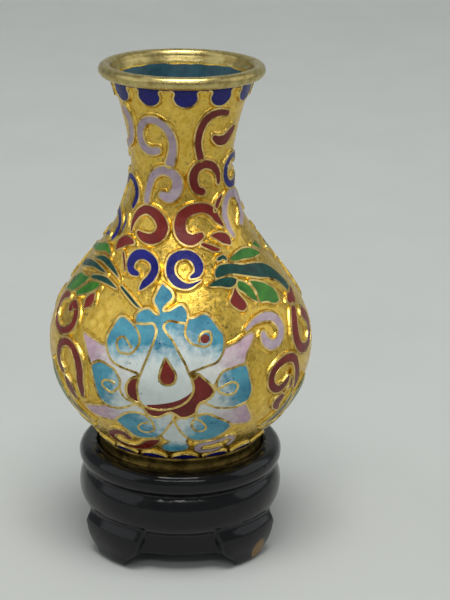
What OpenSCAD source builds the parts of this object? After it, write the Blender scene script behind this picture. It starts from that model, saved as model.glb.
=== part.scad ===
// Miniature cloisonne vase on a turned and carved stand.
// Origin: centre of the stand's feet, on the surface it stands on. +Z up, the lotus faces -Y.

/* [Vase] */
// Height from the foot ring's bottom to the lip of the copper, under the rim tube
lip_height = 55.3; // [50.3:0.5:68.3]
// Diameter of the belly at its widest
belly_d = 38.8; // [32:0.2:46]
// Height of the widest place above the foot ring's bottom
belly_height = 16.6; // [13.8:0.2:20]
// Diameter of the neck at its narrowest
neck_d = 15; // [12.4:0.2:18.4]
// Height of the narrowest place above the foot ring's bottom
neck_height = 42.8; // [36:0.2:46]
// Diameter just under the rim tube
mouth_d = 20.8; // [17.4:0.2:25]
// Thickness of the copper sheet
copper_wall = 0.6; // [0.4:0.05:0.8]
// Thickness of the enamel inside the vase and under its base
lining = 0.25; // [0.1:0.05:0.3]
// Height of the wires and the enamel cells above the gilt ground
relief = 0.35; // [0.25:0.05:0.5]
// Width of a cell's wire
wire_w = 0.25; // [0.2:0.05:0.3]
// Height of the brazed joint between belly and neck
braze_height = 29; // [24:0.5:34]

/* [Rings] */
// Diameter of the rim tube's section
rim_tube_d = 1.8; // [1.5:0.1:2.4]
// How far the middle of the rim tube stands out past the lip
rim_reach = 0.65; // [0.4:0.05:0.7]
// Outer diameter of the foot ring
foot_d = 23.9; // [20:0.1:28]
// Height of the foot ring
foot_h = 2.3; // [1.6:0.1:3.5]
// Width of the foot ring's bottom face
foot_wall = 1.4; // [1.2:0.1:2]

/* [Stand] */
// Height of the face that the vase stands on
seat_height = 14.9; // [12.5:0.1:18]
// Free space around the foot ring in its recess
seat_clearance = 0.35; // [0.2:0.05:0.8]
// Height of the raised lip around the recess
seat_lip = 0.85; // [0.6:0.05:1.2]
// How far the turned beads stand out past the recess
bead_reach = 2.7; // [2:0.1:4]
// Height of the lower bead's underside, where the legs begin
leg_height = 6.2; // [5.2:0.1:7.4]
// How far the legs' shoulders stand out past the recess
leg_reach = 2.9; // [2:0.1:3.2]
// Width of the arch between two feet, at the bottom
arch_w = 15.4; // [13:0.2:16]
// Height of the arch between two feet
arch_h = 2.6; // [2.2:0.1:3.4]
// Width of one leg at its shoulder
leg_w = 10; // [7:0.5:12]
// Diameter of the hollow under the stand
hollow_d = 19; // [15:0.5:20.5]
// Height of the hollow under the stand
hollow_h = 5.6; // [4.6:0.1:6.8]

/* [Hidden] */
$fn = 96;

// ---- The vase's outline ----

belly_r = belly_d / 2;
neck_r = neck_d / 2;
foot_r = foot_d / 2;

// An outline's sizes: heights of foot top, belly, neck and lip, and the radius at each
vase = [foot_h, belly_height, neck_height, lip_height, foot_r, belly_r, neck_r, mouth_d / 2];

// Radius at height h above the foot ring's bottom, over wires and enamel: a parabola under the
// belly, a half wave up the shoulder and a flare above the neck
function outline_r(h, v) =
    h < v[1] ? v[5] - (v[5] - v[4]) * pow((v[1] - h) / (v[1] - v[0]), 2)
    : h < v[2] ? shoulder_r((h - v[1]) / (v[2] - v[1]), v[5], v[6])
    : v[6] + (v[7] - v[6]) * pow((h - v[2]) / (v[3] - v[2]), 1.5);
function shoulder_r(t, wide, narrow) =
    narrow + (wide - narrow) * ((1 + cos(180 * t)) / 2 - 0.1 * t * pow(sin(180 * t), 2));
function skin_r(h) = outline_r(h, vase);

// The outline's lean at a height, as radius over height
function lean(h) = (skin_r(h + 0.01) - skin_r(h - 0.01)) / 0.02;
// Radius at height h of the surface that lies depth under the finished one
function level_r(h, depth) = skin_r(h) - depth * sqrt(1 + pow(lean(h), 2));
// Radius and height of the point that lies depth under the finished surface, square to it
function under(h, depth) = let (k = lean(h), n = sqrt(1 + k * k))
    [skin_r(h) - depth / n, h + depth * k / n];

// Heights from a to b, no more than step apart
function heights(a, b, step) = let (n = ceil((b - a) / step)) [for (i = [0:n]) a + (b - a) * i / n];

// ---- Copper, lining and rings ----

ground = relief;                   // depth of the gilt ground
inner = ground + copper_wall;      // depth of the copper's inner face
bore = inner + lining;             // depth of the lining's inner face
bond = 0.03;                       // hairline that keeps the lining's steps off the copper's
floor_h = foot_h + copper_wall;    // top of the base disc
lining_top = lip_height - 0.4;     // bare gilt copper shows above the lining
wall_step = 1.2;                   // spacing of the outline's points

module on_seat() {
    translate([0, 0, seat_height]) children();
}

// A wall of revolution between two depths, from height a to height b, with level ends
module shell(a, b, outer_depth, inner_depth) {
    hs = heights(a, b, wall_step);
    rotate_extrude() polygon(concat(
        [for (h = hs) [level_r(h, outer_depth), h]],
        [for (i = [len(hs) - 1:-1:0]) [level_r(hs[i], inner_depth), hs[i]]]
    ));
}

module copper_belly() {
    color("darkgoldenrod") on_seat() shell(foot_h, braze_height, ground, inner);
}

module copper_neck() {
    color("goldenrod") on_seat() shell(braze_height, lip_height, ground, inner);
}

// One coat of enamel on the walls and the floor inside
module lining_enamel() {
    hs = heights(floor_h, lining_top, wall_step);
    color("teal") on_seat() rotate_extrude() polygon(concat(
        [[0, floor_h]],
        [for (h = hs) [level_r(h, inner + bond), h]],
        [for (i = [len(hs) - 1:-1:1]) [level_r(hs[i], bore), hs[i]]],
        [[level_r(floor_h + lining, bore), floor_h + lining], [0, floor_h + lining]]
    ));
}

module base_disc() {
    color("peru") on_seat() translate([0, 0, foot_h])
        cylinder(r = min(level_r(foot_h, inner), level_r(floor_h, inner)), h = copper_wall);
}

module base_enamel() {
    color("teal") on_seat() translate([0, 0, foot_h - lining])
        cylinder(r = foot_r - foot_wall, h = lining);
}

// The ring that the vase stands on, with a shallow waist
module foot_ring() {
    waist = 0.2;
    color("gold") on_seat() rotate_extrude() polygon([
        [foot_r - foot_wall, 0], [foot_r, 0], [foot_r, foot_h * 0.2],
        [foot_r - waist, foot_h * 0.4], [foot_r - waist, foot_h * 0.75],
        [foot_r, foot_h], [foot_r - foot_wall, foot_h]
    ]);
}

// A tube, cut level where it is brazed to the lip
module rim_ring() {
    tube_r = rim_tube_d / 2;
    drop = tube_r * 0.5;
    ring_r = level_r(lip_height, ground) + rim_reach;
    color("palegoldenrod") on_seat() difference() {
        translate([0, 0, lip_height + drop]) rotate_extrude() translate([ring_r, 0]) circle(r = tube_r);
        translate([0, 0, lip_height - 2 * tube_r]) cylinder(r = 2 * ring_r, h = 2 * tube_r);
    }
}

// ---- Stand ----

recess_r = foot_r + seat_clearance;
bead_r = recess_r + bead_reach;
stand_top = seat_height + seat_lip;
waist_h = leg_height + (stand_top - leg_height) * 0.63;   // groove between the two beads
leg_r = recess_r + leg_reach;
apron_r = recess_r + 0.4;

// Outline of a turned bead from height a to height b: part of a flat oval
function bead(a, b, bulge) = [for (t = [-62:15.5:62])
    [bead_r - bulge + bulge * cos(t), (a + b) / 2 + (b - a) / 2 * sin(t) / sin(62)]];

module stand() {
    color("#1c1e20") difference() {
        union() {
            rotate_extrude() polygon(concat(
                [[0, leg_height - 0.6], [apron_r, leg_height - 0.6]],
                bead(leg_height, waist_h, 2), bead(waist_h, stand_top, 2),
                [[recess_r, stand_top], [0, stand_top]]
            ));
            cylinder(r = apron_r, h = leg_height);
            legs();
        }
        translate([0, 0, seat_height]) cylinder(r = recess_r, h = 10);
        translate([0, 0, -1]) cylinder(d = hollow_d, h = hollow_h + 1);
        for (turn = [0, 90]) rotate(turn) arch();
    }
}

// Four curved legs: a turned outline, kept only near the diagonals
module legs() {
    intersection() {
        rotate_extrude() polygon([
            [0, 0], [leg_r - 1.5, 0], [leg_r - 0.9, 0.5], [leg_r - 0.5, 2], [leg_r - 0.15, 3.2],
            [leg_r, leg_height * 0.72], [leg_r - 0.1, leg_height * 0.85], [leg_r - 0.7, leg_height],
            [leg_r - 1.2, leg_height + 0.5], [0, leg_height + 0.5]
        ]);
        for (turn = [45:90:315]) rotate(turn) rotate([90, 0, 90]) linear_extrude(3 * leg_r)
            polygon([[-leg_w * 0.3, -1], [leg_w * 0.3, -1], [leg_w / 2, leg_height + 1],
                [-leg_w / 2, leg_height + 1]]);
    }
}

// The opening between two feet, right through the stand: an oval with full shoulders
module arch() {
    power = 2 / 3.2;
    rotate([90, 0, 0]) linear_extrude(4 * bead_r, center = true) polygon(concat(
        [[arch_w / 2, -1]],
        [for (t = [0:10:180]) let (c = cos(t))
            [arch_w / 2 * sign(c) * pow(abs(c), power), arch_h * pow(sin(t), power)]],
        [[-arch_w / 2, -1]]
    ));
}

// ---- The pattern ----
// It is drawn flat on a vase of the standard size: x runs along the surface from the middle of a
// side of the vase, s up the outline from the foot ring's top, both in mm. A point's angle and
// its share of each stretch of the outline carry it to this vase.

standard = [2.3, 16.6, 42.8, 55, 11.95, 19, 7.4, 10.7];
standard_rows = [for (h = heights(standard[0], standard[3], 0.4)) [outline_r(h, standard), h]];
row_lengths = [for (i = 0, s = 0; i < len(standard_rows); i = i + 1,
    s = s + (i < len(standard_rows) ? norm(standard_rows[i] - standard_rows[i - 1]) : 0)) s];
height_at = [for (i = [0:len(standard_rows) - 1]) [row_lengths[i], standard_rows[i][1]]];
to_this_vase = [for (i = [0:3]) [standard[i], vase[i]]];

// The place on this vase of a flat point, at a depth under the finished surface
function on_vase(p, depth) =
    let (h = lookup(p[1], height_at), angle = p[0] / outline_r(h, standard) * 180 / PI,
        q = under(lookup(h, to_this_vase), depth))
    [q[0] * sin(angle), -q[0] * cos(angle), q[1]];

// A cell is a list of [x, s, half width]. A smooth curve runs through its points.
function between(p, i, t) =
    let (a = p[max(i - 1, 0)], b = p[i], c = p[i + 1], d = p[min(i + 2, len(p) - 1)])
    0.5 * (2 * b + (c - a) * t + (2 * a - 5 * b + 4 * c - d) * t * t
        + (3 * b - a - 3 * c + d) * t * t * t);
function smooth(p, n, trim = 0) = let (cut = trim / span(p)) [for (k = [0:n])
    let (u = (cut + (1 - 2 * cut) * k / n) * (len(p) - 1), i = min(floor(u), len(p) - 2))
    between(p, i, u - i)];
// Length of the straight steps from point i - 1 on
function span(p, i = 1) = i < len(p) ? norm(flat(p[i] - p[i - 1])) + span(p, i + 1) : 0;
function flat(v) = [v[0], v[1]];
function side(p, i) = let (d = flat(p[min(i + 1, len(p) - 1)] - p[max(i - 1, 0)])) [-d[1], d[0]] / norm(d);
// One edge of a cell: way is 1 on its left and -1 on its right, inset keeps it inside the wire
function edge(p, way, inset) = [for (i = [0:len(p) - 1])
    flat(p[i]) + way * side(p, i) * (max(p[i][2], 0.25) - inset)];
// The points of a cell's blunt end, close enough together to follow the round ground
function blunt_end(a, b) = let (n = ceil(norm(b - a))) [for (i = [1:1:n - 1]) a + (b - a) * i / n];

gap = 0.075;                 // free space under a cell, so that its flat facets clear the round ground
cell_inset = wire_w * 0.8;   // from the middle of a cell's wire to its enamel

// Enamel between two edges that run side by side, in strips across so that it follows the vase
module plate(left, right, across, top) {
    rows = len(left);
    wide = across + 1;
    function at(i, j, depth) = on_vase(left[i] + (right[i] - left[i]) * j / across, depth);
    points = concat(
        [for (i = [0:rows - 1], j = [0:across]) at(i, j, ground - gap)],
        [for (i = [0:rows - 1], j = [0:across]) at(i, j, top)]
    );
    n = rows * wide;
    polyhedron(points, concat(
        [for (i = [0:rows - 2], j = [0:across - 1]) for (f = quad(
            i * wide + j, i * wide + j + 1, (i + 1) * wide + j + 1, (i + 1) * wide + j)) f],
        [for (i = [0:rows - 2], j = [0:across - 1]) for (f = quad(
            n + i * wide + j, n + (i + 1) * wide + j, n + (i + 1) * wide + j + 1, n + i * wide + j + 1)) f],
        [for (i = [0:rows - 2]) for (f = quad(
            i * wide, (i + 1) * wide, n + (i + 1) * wide, n + i * wide)) f],
        [for (i = [0:rows - 2]) for (f = quad(
            i * wide + across, n + i * wide + across, n + (i + 1) * wide + across, (i + 1) * wide + across)) f],
        [for (j = [0:across - 1]) for (f = quad(j, n + j, n + j + 1, j + 1)) f],
        [for (j = [0:across - 1]) for (f = quad(
            n - wide + j, n - wide + j + 1, 2 * n - wide + j + 1, 2 * n - wide + j)) f]
    ));
}
function quad(a, b, c, d) = [[a, b, c], [a, c, d]];

// A wire along a closed line: a ridge of three sides
module wire(loop) {
    n = len(loop);
    function out(i) = let (d = loop[(i + 1) % n] - loop[(i + n - 1) % n]) [-d[1], d[0]] / norm(d);
    points = [for (i = [0:n - 1]) each [
        on_vase(loop[i] - out(i) * wire_w / 2, ground - gap),
        on_vase(loop[i] + out(i) * wire_w / 2, ground - gap),
        on_vase(loop[i], 0)
    ]];
    polyhedron(points, [for (i = [0:n - 1]) let (a = 3 * i, b = 3 * ((i + 1) % n)) each
        [for (k = [0:2]) each quad(a + k, a + (k + 1) % 3, b + (k + 1) % 3, b + k)]]);
}

// The front and the back of the vase carry the same pattern
module both_sides() {
    on_seat() for (turn = [0, 180]) rotate(turn) children();
}

module enamel(cells, n, across) {
    for (c = cells) {
        p = smooth(c, n, cell_inset);
        plate(edge(p, 1, cell_inset), edge(p, -1, cell_inset), across, 0.02);
    }
}

module wires(cells, n) {
    for (c = cells) {
        p = smooth(c, n);
        left = edge(p, 1, 0);
        right = edge(p, -1, 0);
        wire(concat(left, blunt_end(left[n], right[n]), [for (i = [n:-1:0]) right[i]],
            blunt_end(right[0], left[0])));
    }
}

neck_lilac = [
    [[-3.4, 48.6, 0.55], [-4.7, 48.4, 0.55], [-5.8, 49.2, 0.6], [-6.2, 50.6, 0.55], [-5.6, 52.3, 0.55],
        [-4.2, 52.9, 0.55], [-2.7, 52.2, 0.5], [-1.6, 50.9, 0.5], [-1.3, 49.2, 0.55], [-1.6, 47.1, 0.6]],
    [[-5.1, 41.4, 0.45], [-4.6, 43.6, 0.5], [-3.6, 45.4, 0.55], [-2.1, 45.8, 0.6], [-0.8, 44.9, 0.65],
        [-0.6, 43.4, 0.7], [-1.5, 42.3, 0.7], [-2.7, 42.4, 0.55]],
    [[-9.4, 48.8, 0.5], [-8.4, 49.8, 0.6], [-8.2, 51.6, 0.6], [-9, 53.2, 0.5]],
    [[8.3, 36.3, 0.3], [7.4, 38, 0.4], [7, 39.8, 0.45], [7.7, 41.2, 0.5], [9.1, 41.5, 0.55],
        [10.5, 40.8, 0.65], [11, 39.2, 0.7], [10.2, 37.9, 0.5]]
];
neck_red = [
    [[2.6, 47.7, 0.5], [2.3, 49.6, 0.36], [2.5, 51.5, 0.4], [3.5, 53.3, 0.42], [5.1, 54, 0.42],
        [6.8, 53.9, 0.38]],
    [[4.8, 50.4, 0.35], [5.7, 49.8, 0.6], [6.8, 50, 0.62], [8.3, 51.2, 0.35]],
    [[5.5, 43.9, 0.35], [5.3, 45.3, 0.45], [4.4, 46.4, 0.55], [3.1, 46.7, 0.6], [1.9, 46, 0.6],
        [1.6, 44.7, 0.6], [2.1, 43.3, 0.55], [3, 43, 0.5]]
];
neck_cobalt = [
    [[10.2, 46.4, 0.35], [9.2, 47, 0.42], [7.9, 46.6, 0.48], [7, 45.3, 0.5], [7.2, 43.9, 0.5],
        [8.4, 43.1, 0.5], [9.8, 43.4, 0.42]],
    [[-7.7, 40.2, 0.3], [-7, 41.8, 0.42], [-7.6, 43.4, 0.45], [-9, 43.9, 0.42], [-10.2, 43, 0.35]]
];
shoulder_red = [
    [[-7.6, 36.9, 0.3], [-7, 38.7, 0.48], [-5.6, 40, 0.6], [-3.8, 39.9, 0.75], [-2.6, 38.6, 0.85],
        [-2.9, 37.1, 0.85], [-4.2, 36.3, 0.8], [-5.8, 36.6, 0.6]],
    [[6.1, 37.8, 0.3], [5, 39.2, 0.5], [3.5, 40.5, 0.65], [1.6, 40.6, 0.75], [0.1, 39.6, 0.8],
        [-0.1, 38, 0.85], [0.8, 36.6, 0.85], [2.3, 36.7, 0.65]],
    [[4.3, 36.7, 0.35], [5.4, 36.5, 0.6], [6.5, 36, 0.7], [7.1, 35.4, 0.4]],
    [[-10.2, 33.9, 0.35], [-9.4, 34.8, 0.65], [-8.4, 35.3, 0.65], [-7.3, 35.4, 0.4]]
];
shoulder_cobalt = [
    [[-6.3, 31.2, 0.45], [-7.1, 32, 0.65], [-6.7, 33.4, 0.7], [-5.3, 34, 0.75], [-4, 33.4, 0.65],
        [-3.6, 32, 0.6], [-4.3, 30.6, 0.6], [-5.5, 29.3, 0.35]],
    [[1.5, 31.3, 0.45], [2.3, 32.2, 0.65], [1.9, 33.7, 0.7], [0.4, 34.3, 0.7], [-1, 33.8, 0.7],
        [-1.4, 32.3, 0.65], [-0.9, 30.8, 0.65], [0.6, 29.9, 0.5], [2.4, 30.5, 0.25]],
    [[-12.6, 38.6, 0.4], [-11.2, 38.1, 0.5], [-10.7, 36.6, 0.5], [-11.7, 35, 0.35]]
];
leaf_dark = [
    [[-15.6, 31.3, 0.25], [-13.6, 31.8, 0.4], [-11.6, 31.6, 0.5], [-9.3, 30.2, 0.25]],
    [[-14.6, 29.2, 0.3], [-12.6, 29.5, 0.4], [-10.8, 29.1, 0.45], [-9.2, 28.5, 0.25]],
    [[-8.4, 28.8, 0.35], [-7.2, 27.8, 0.35], [-5.8, 26.6, 0.25]],
    [[5, 32, 0.4], [7.4, 31.9, 0.6], [10.4, 31.4, 0.6], [13.4, 30.2, 0.6], [16.4, 28.4, 0.6],
        [19.2, 26.4, 0.4]],
    [[4.2, 30, 0.3], [6, 30.2, 0.7], [8, 29.8, 0.6]],
    [[18.4, 10.9, 0.25], [17.1, 9, 0.5], [15.4, 7.6, 0.5], [12.8, 6.4, 0.3]]
];
leaf_green = [
    [[-18, 32.2, 0.45], [-15.6, 32.7, 0.55], [-13.4, 33.3, 0.6], [-11.6, 33, 0.35]],
    [[-17.8, 26, 0.35], [-16.2, 26.8, 0.6], [-14.6, 27.6, 0.55], [-13.4, 28.1, 0.3]],
    [[7.2, 33.2, 0.35], [9, 33.6, 0.6], [11.2, 33.2, 0.6], [13.4, 32.4, 0.3]],
    [[9.6, 29.1, 0.4], [11.5, 28.6, 0.95], [13.8, 27.5, 1.2], [15.2, 26.2, 0.7]],
    [[22.3, 12.3, 0.3], [21.6, 10.6, 0.85], [20.2, 9.1, 1.05], [18, 7.6, 0.4]],
    [[-22.9, 15, 0.3], [-21.9, 12.6, 0.7], [-20.2, 10, 0.8], [-18, 7.9, 0.4]]
];
bud_red = [
    [[-15.2, 24.7, 0.35], [-14.4, 25.4, 0.7], [-13.7, 26.2, 0.6], [-13.2, 26.9, 0.3]],
    [[7.4, 28.8, 0.35], [7.7, 27.9, 0.65], [8.3, 27, 0.8], [9, 26.1, 0.4]]
];
lotus_white = [
    [[-2.65, 24.5, 0.5], [-2.5, 22.4, 0.95], [-2.1, 20.2, 1.9], [-1.9, 18.2, 2.9], [-1.9, 16.2, 3.6],
        [-2, 14.5, 3.4], [-2.1, 13, 2]],
    [[-1, 9.4, 0.35], [-0.9, 7.8, 0.8], [-0.8, 6, 1.2], [-0.8, 4.4, 1.7], [-0.8, 3, 1]]
];
lotus_turquoise = [
    [[-8.1, 24.3, 0.6], [-8.3, 22.8, 1.7], [-8, 21, 2.1], [-7.3, 19.4, 1.9], [-6.3, 18.1, 0.6]],
    [[3.4, 25.4, 0.8], [3.2, 23.8, 2], [3, 21.8, 2.5], [2.6, 20, 1.8], [1.8, 18.8, 0.6]],
    [[-5.6, 25.6, 0.4], [-4.4, 25.4, 0.6], [-3, 25.4, 0.4]],
    [[-1.8, 25.8, 0.4], [-0.8, 26.3, 0.8], [0.2, 26.7, 0.6]],
    [[-3, 28.9, 0.4], [-2.5, 28.4, 0.8], [-2.3, 27.4, 0.35]],
    [[-12.2, 17, 0.6], [-11, 16, 1.7], [-10.2, 14.4, 2], [-9.2, 12.9, 0.9]],
    [[8.7, 17.4, 0.7], [8, 16, 1.9], [7.4, 14.4, 2], [6.6, 13.1, 0.8]],
    [[-8.5, 9.7, 0.4], [-6.8, 9.6, 1.3], [-5, 9, 1.8], [-3.4, 7.8, 1]],
    [[6.3, 9.2, 0.4], [4.6, 9, 1.6], [2.8, 8.6, 1.9], [1.3, 7.8, 1]]
];
lotus_pink = [
    [[-14.2, 21, 0.45], [-12.6, 20.3, 0.8], [-11.2, 19.3, 0.8], [-10, 18.3, 0.35]],
    [[10.2, 21.9, 0.7], [8.6, 21, 1], [7, 19.8, 0.9], [5.2, 18.4, 0.4]],
    [[-14.4, 10, 0.4], [-12.6, 10.3, 0.85], [-10.8, 10.6, 0.7], [-9.4, 11, 0.3]],
    [[9.6, 9.6, 0.5], [8.2, 10.4, 0.9], [6.8, 11.4, 0.5]]
];
lotus_red = [
    [[-6.4, 16.6, 0.3], [-6.6, 15.3, 0.55], [-6.2, 14, 0.35]],
    [[2.4, 17, 0.4], [3, 15.8, 0.9], [3, 14.6, 0.8], [2.6, 13.6, 0.4]],
    [[-4.4, 11.9, 0.35], [-2.8, 11.7, 0.45], [-1.2, 12, 0.35], [0.4, 11.8, 0.5], [1.4, 12.4, 0.35]]
];
scroll_red = [
    [[-18.8, 23.6, 0.4], [-17.6, 24.3, 0.55], [-16.9, 23, 0.55], [-17.8, 21.3, 0.5], [-20, 20.4, 0.45],
        [-22.4, 20.9, 0.5], [-23, 22.8, 0.5], [-21.6, 24.5, 0.45]],
    [[-14.8, 13.2, 0.35], [-15.3, 15, 0.55], [-15.5, 17, 0.65], [-16.6, 18.8, 0.6], [-18.4, 19.2, 0.5],
        [-20, 18.2, 0.5], [-20.4, 16.4, 0.45]],
    [[19, 26.1, 0.3], [19.6, 25.1, 0.7], [20.3, 23.8, 0.5]],
    [[22.4, 20.6, 0.4], [24, 19.4, 0.45], [23, 17.9, 0.5], [20.4, 17.9, 0.55], [19, 19.6, 0.6],
        [19.2, 22.6, 0.6]],
    [[13.6, 12.7, 0.35], [13.2, 14.4, 0.5], [13.6, 16.2, 0.55], [15, 17.4, 0.5], [16.8, 17.6, 0.5],
        [18.4, 16.6, 0.45]],
    [[13.8, 9.6, 0.35], [14.6, 10.6, 0.8], [15.4, 11.6, 0.6]],
    [[-7.4, 6.1, 0.4], [-8.8, 6.4, 0.55], [-10.4, 5.7, 0.55], [-10, 4.2, 0.5], [-8.2, 3.1, 0.45],
        [-6.2, 2.8, 0.3]],
    [[-2.8, 5.6, 0.3], [-4, 4.9, 0.75], [-4.6, 3.8, 0.6], [-5.4, 2.9, 0.3]]
];
scroll_lilac = [
    [[9, 22.9, 0.3], [10.6, 23.9, 0.45], [12.6, 24.3, 0.55], [14.6, 23.6, 0.55], [15.6, 21.8, 0.55],
        [14.8, 20.2, 0.5], [13.2, 20.1, 0.5], [12.2, 21.4, 0.4]],
    [[6.2, 4.4, 0.3], [5, 5.2, 0.4], [3.4, 5, 0.45], [2.4, 3.8, 0.45], [3.2, 2.7, 0.4], [5, 2.6, 0.3]]
];

rim_lappets = 12;
foot_lappets = 17;
lappet_turn = 3;   // angle of the first lappet from the front

// A row of half-round cells that hang from the rim or stand on the foot
module border(count, s_flat, s_round, width, wired) {
    on_seat() for (k = [0:count - 1]) rotate(360 * k / count + lappet_turn) {
        reach = s_round - s_flat;
        c = [[0, s_flat + 0.15 * sign(reach), width / 2], [0, s_flat + reach * 0.45, width / 2],
            [0, s_flat + reach * 0.8, width * 0.4], [0, s_round, width * 0.14]];
        if (wired) wires([c], 5);
        else enamel([c], 5, 2);
    }
}

module rim_border_enamel() {
    color("mediumblue") border(rim_lappets, 57.6, 55.4, 3.4, false);
}

module rim_border_wires() {
    color("khaki") border(rim_lappets, 57.6, 55.4, 3.4, true);
}

module neck_lilac_enamel() {
    color("thistle") both_sides() enamel(neck_lilac, 12, 1);
}

module neck_red_enamel() {
    color("firebrick") both_sides() enamel(neck_red, 9, 1);
}

module neck_cobalt_enamel() {
    color("mediumblue") both_sides() enamel(neck_cobalt, 9, 1);
}

module neck_wires() {
    color("khaki") both_sides() wires(concat(neck_lilac, neck_red, neck_cobalt), 9);
}

module shoulder_red_enamel() {
    color("firebrick") both_sides() enamel(shoulder_red, 9, 1);
}

module shoulder_cobalt_enamel() {
    color("mediumblue") both_sides() enamel(shoulder_cobalt, 10, 1);
}

module shoulder_wires() {
    color("khaki") both_sides() wires(concat(shoulder_red, shoulder_cobalt), 9);
}

module leaf_dark_enamel() {
    color("darkslategray") both_sides() enamel(leaf_dark, 5, 1);
}

module leaf_green_enamel() {
    color("forestgreen") both_sides() enamel(leaf_green, 5, 2);
}

module bud_red_enamel() {
    color("firebrick") both_sides() enamel(bud_red, 5, 1);
}

module leaf_wires() {
    color("khaki") both_sides() wires(concat(leaf_dark, leaf_green, bud_red), 5);
}

module lotus_white_enamel() {
    color("aliceblue") both_sides() enamel(lotus_white, 7, 5);
}

module lotus_turquoise_enamel() {
    color("steelblue") both_sides() enamel(lotus_turquoise, 5, 3);
}

module lotus_pink_enamel() {
    color("thistle") both_sides() enamel(lotus_pink, 4, 1);
}

module lotus_red_enamel() {
    color("firebrick") both_sides() enamel(lotus_red, 4, 1);
}

module lotus_wires() {
    color("khaki") both_sides() wires(concat(lotus_white, lotus_turquoise, lotus_pink, lotus_red), 6);
}

module scroll_red_enamel() {
    color("firebrick") both_sides() enamel(scroll_red, 8, 1);
}

module scroll_lilac_enamel() {
    color("thistle") both_sides() enamel(scroll_lilac, 8, 1);
}

module scroll_wires() {
    color("khaki") both_sides() wires(concat(scroll_red, scroll_lilac), 8);
}

module foot_border_enamel() {
    color("mediumblue") border(foot_lappets, 0.2, 1.7, 3.6, false);
}

module foot_border_wires() {
    color("khaki") border(foot_lappets, 0.2, 1.7, 3.6, true);
}

stand();
copper_belly();
copper_neck();
base_disc();
foot_ring();
rim_ring();
lining_enamel();
base_enamel();
rim_border_enamel();
rim_border_wires();
neck_lilac_enamel();
neck_red_enamel();
neck_cobalt_enamel();
neck_wires();
shoulder_red_enamel();
shoulder_cobalt_enamel();
shoulder_wires();
leaf_dark_enamel();
leaf_green_enamel();
bud_red_enamel();
leaf_wires();
lotus_white_enamel();
lotus_turquoise_enamel();
lotus_pink_enamel();
lotus_red_enamel();
lotus_wires();
scroll_red_enamel();
scroll_lilac_enamel();
scroll_wires();
foot_border_enamel();
foot_border_wires();
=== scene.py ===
"""Looks of a miniature cloisonne vase on its lacquered stand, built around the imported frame."""
import math

import bpy
import numpy as np
from mathutils import Matrix, Quaternion, Vector
from mathutils.kdtree import KDTree


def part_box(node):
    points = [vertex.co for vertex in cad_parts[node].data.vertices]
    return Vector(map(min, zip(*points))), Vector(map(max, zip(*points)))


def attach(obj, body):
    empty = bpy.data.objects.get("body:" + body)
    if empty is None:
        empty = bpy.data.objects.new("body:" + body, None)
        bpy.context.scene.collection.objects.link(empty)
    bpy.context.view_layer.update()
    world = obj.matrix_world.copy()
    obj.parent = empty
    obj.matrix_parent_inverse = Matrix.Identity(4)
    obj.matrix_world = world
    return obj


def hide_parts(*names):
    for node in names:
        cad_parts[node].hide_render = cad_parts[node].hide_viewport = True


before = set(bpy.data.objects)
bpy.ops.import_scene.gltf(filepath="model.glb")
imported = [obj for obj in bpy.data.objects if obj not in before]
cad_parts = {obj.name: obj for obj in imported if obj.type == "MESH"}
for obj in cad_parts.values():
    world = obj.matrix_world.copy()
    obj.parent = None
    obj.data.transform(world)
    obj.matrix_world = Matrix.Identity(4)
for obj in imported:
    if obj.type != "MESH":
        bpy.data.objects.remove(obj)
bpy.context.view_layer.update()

MM = 0.001
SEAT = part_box("foot_ring")[0].z / MM     # height of the face that the vase stands on
STAND_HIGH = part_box("stand")[1]

# ---------------------------------------------------------------- the vase's outline, in mm
FOOT_TOP, BELLY_Z, NECK_Z, LIP_Z = 2.3, 16.6, 42.8, 55.3
FOOT_R = 11.95
BELLY_R, NECK_R, MOUTH_R = 19.4, 7.5, 10.4
CHART = (19.0, 7.4, 10.7)      # belly, neck and mouth of the vase that the flat pattern is drawn on
CHART_LIP_Z = 55.0
OUTLINE_ROWS = 500
GROUND = 0.35          # depth of the gilt ground under the wires' tops
COPPER = 0.6           # thickness of the sheet
LINING = 0.25          # thickness of the coat inside
BARE_LIP = 0.4         # bare copper above the lining
FOOT_WALL = 1.4
RIM_TUBE_R = 0.9


def outline_r(h, radii=(BELLY_R, NECK_R, MOUTH_R), lip_z=LIP_Z):
    """Radius over wires and enamel at height h above the foot ring's bottom."""
    belly, neck, mouth = radii
    h = np.asarray(h, float)
    low = belly - (belly - FOOT_R) * ((BELLY_Z - h) / (BELLY_Z - FOOT_TOP)) ** 2
    t = np.clip((h - BELLY_Z) / (NECK_Z - BELLY_Z), 0, 1)
    wave = (1 + np.cos(np.pi * t)) / 2 - 0.1 * t * np.sin(np.pi * t) ** 2
    middle = neck + (belly - neck) * wave
    u = np.clip((h - NECK_Z) / (lip_z - NECK_Z), 0, None)
    high = neck + (mouth - neck) * u ** 1.5
    return np.where(h < BELLY_Z, low, np.where(h < NECK_Z, middle, high))


ROWS_H = np.linspace(FOOT_TOP, LIP_Z, OUTLINE_ROWS)
ROWS_R = outline_r(ROWS_H)
ROWS_LEAN = np.gradient(ROWS_R, ROWS_H)
CHART_H = np.linspace(FOOT_TOP, CHART_LIP_Z, OUTLINE_ROWS)
CHART_R = outline_r(CHART_H, CHART, CHART_LIP_Z)
CHART_S = np.concatenate([[0], np.cumsum(np.hypot(np.diff(CHART_R), np.diff(CHART_H)))])
TOP_S = float(CHART_S[-1])


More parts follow.
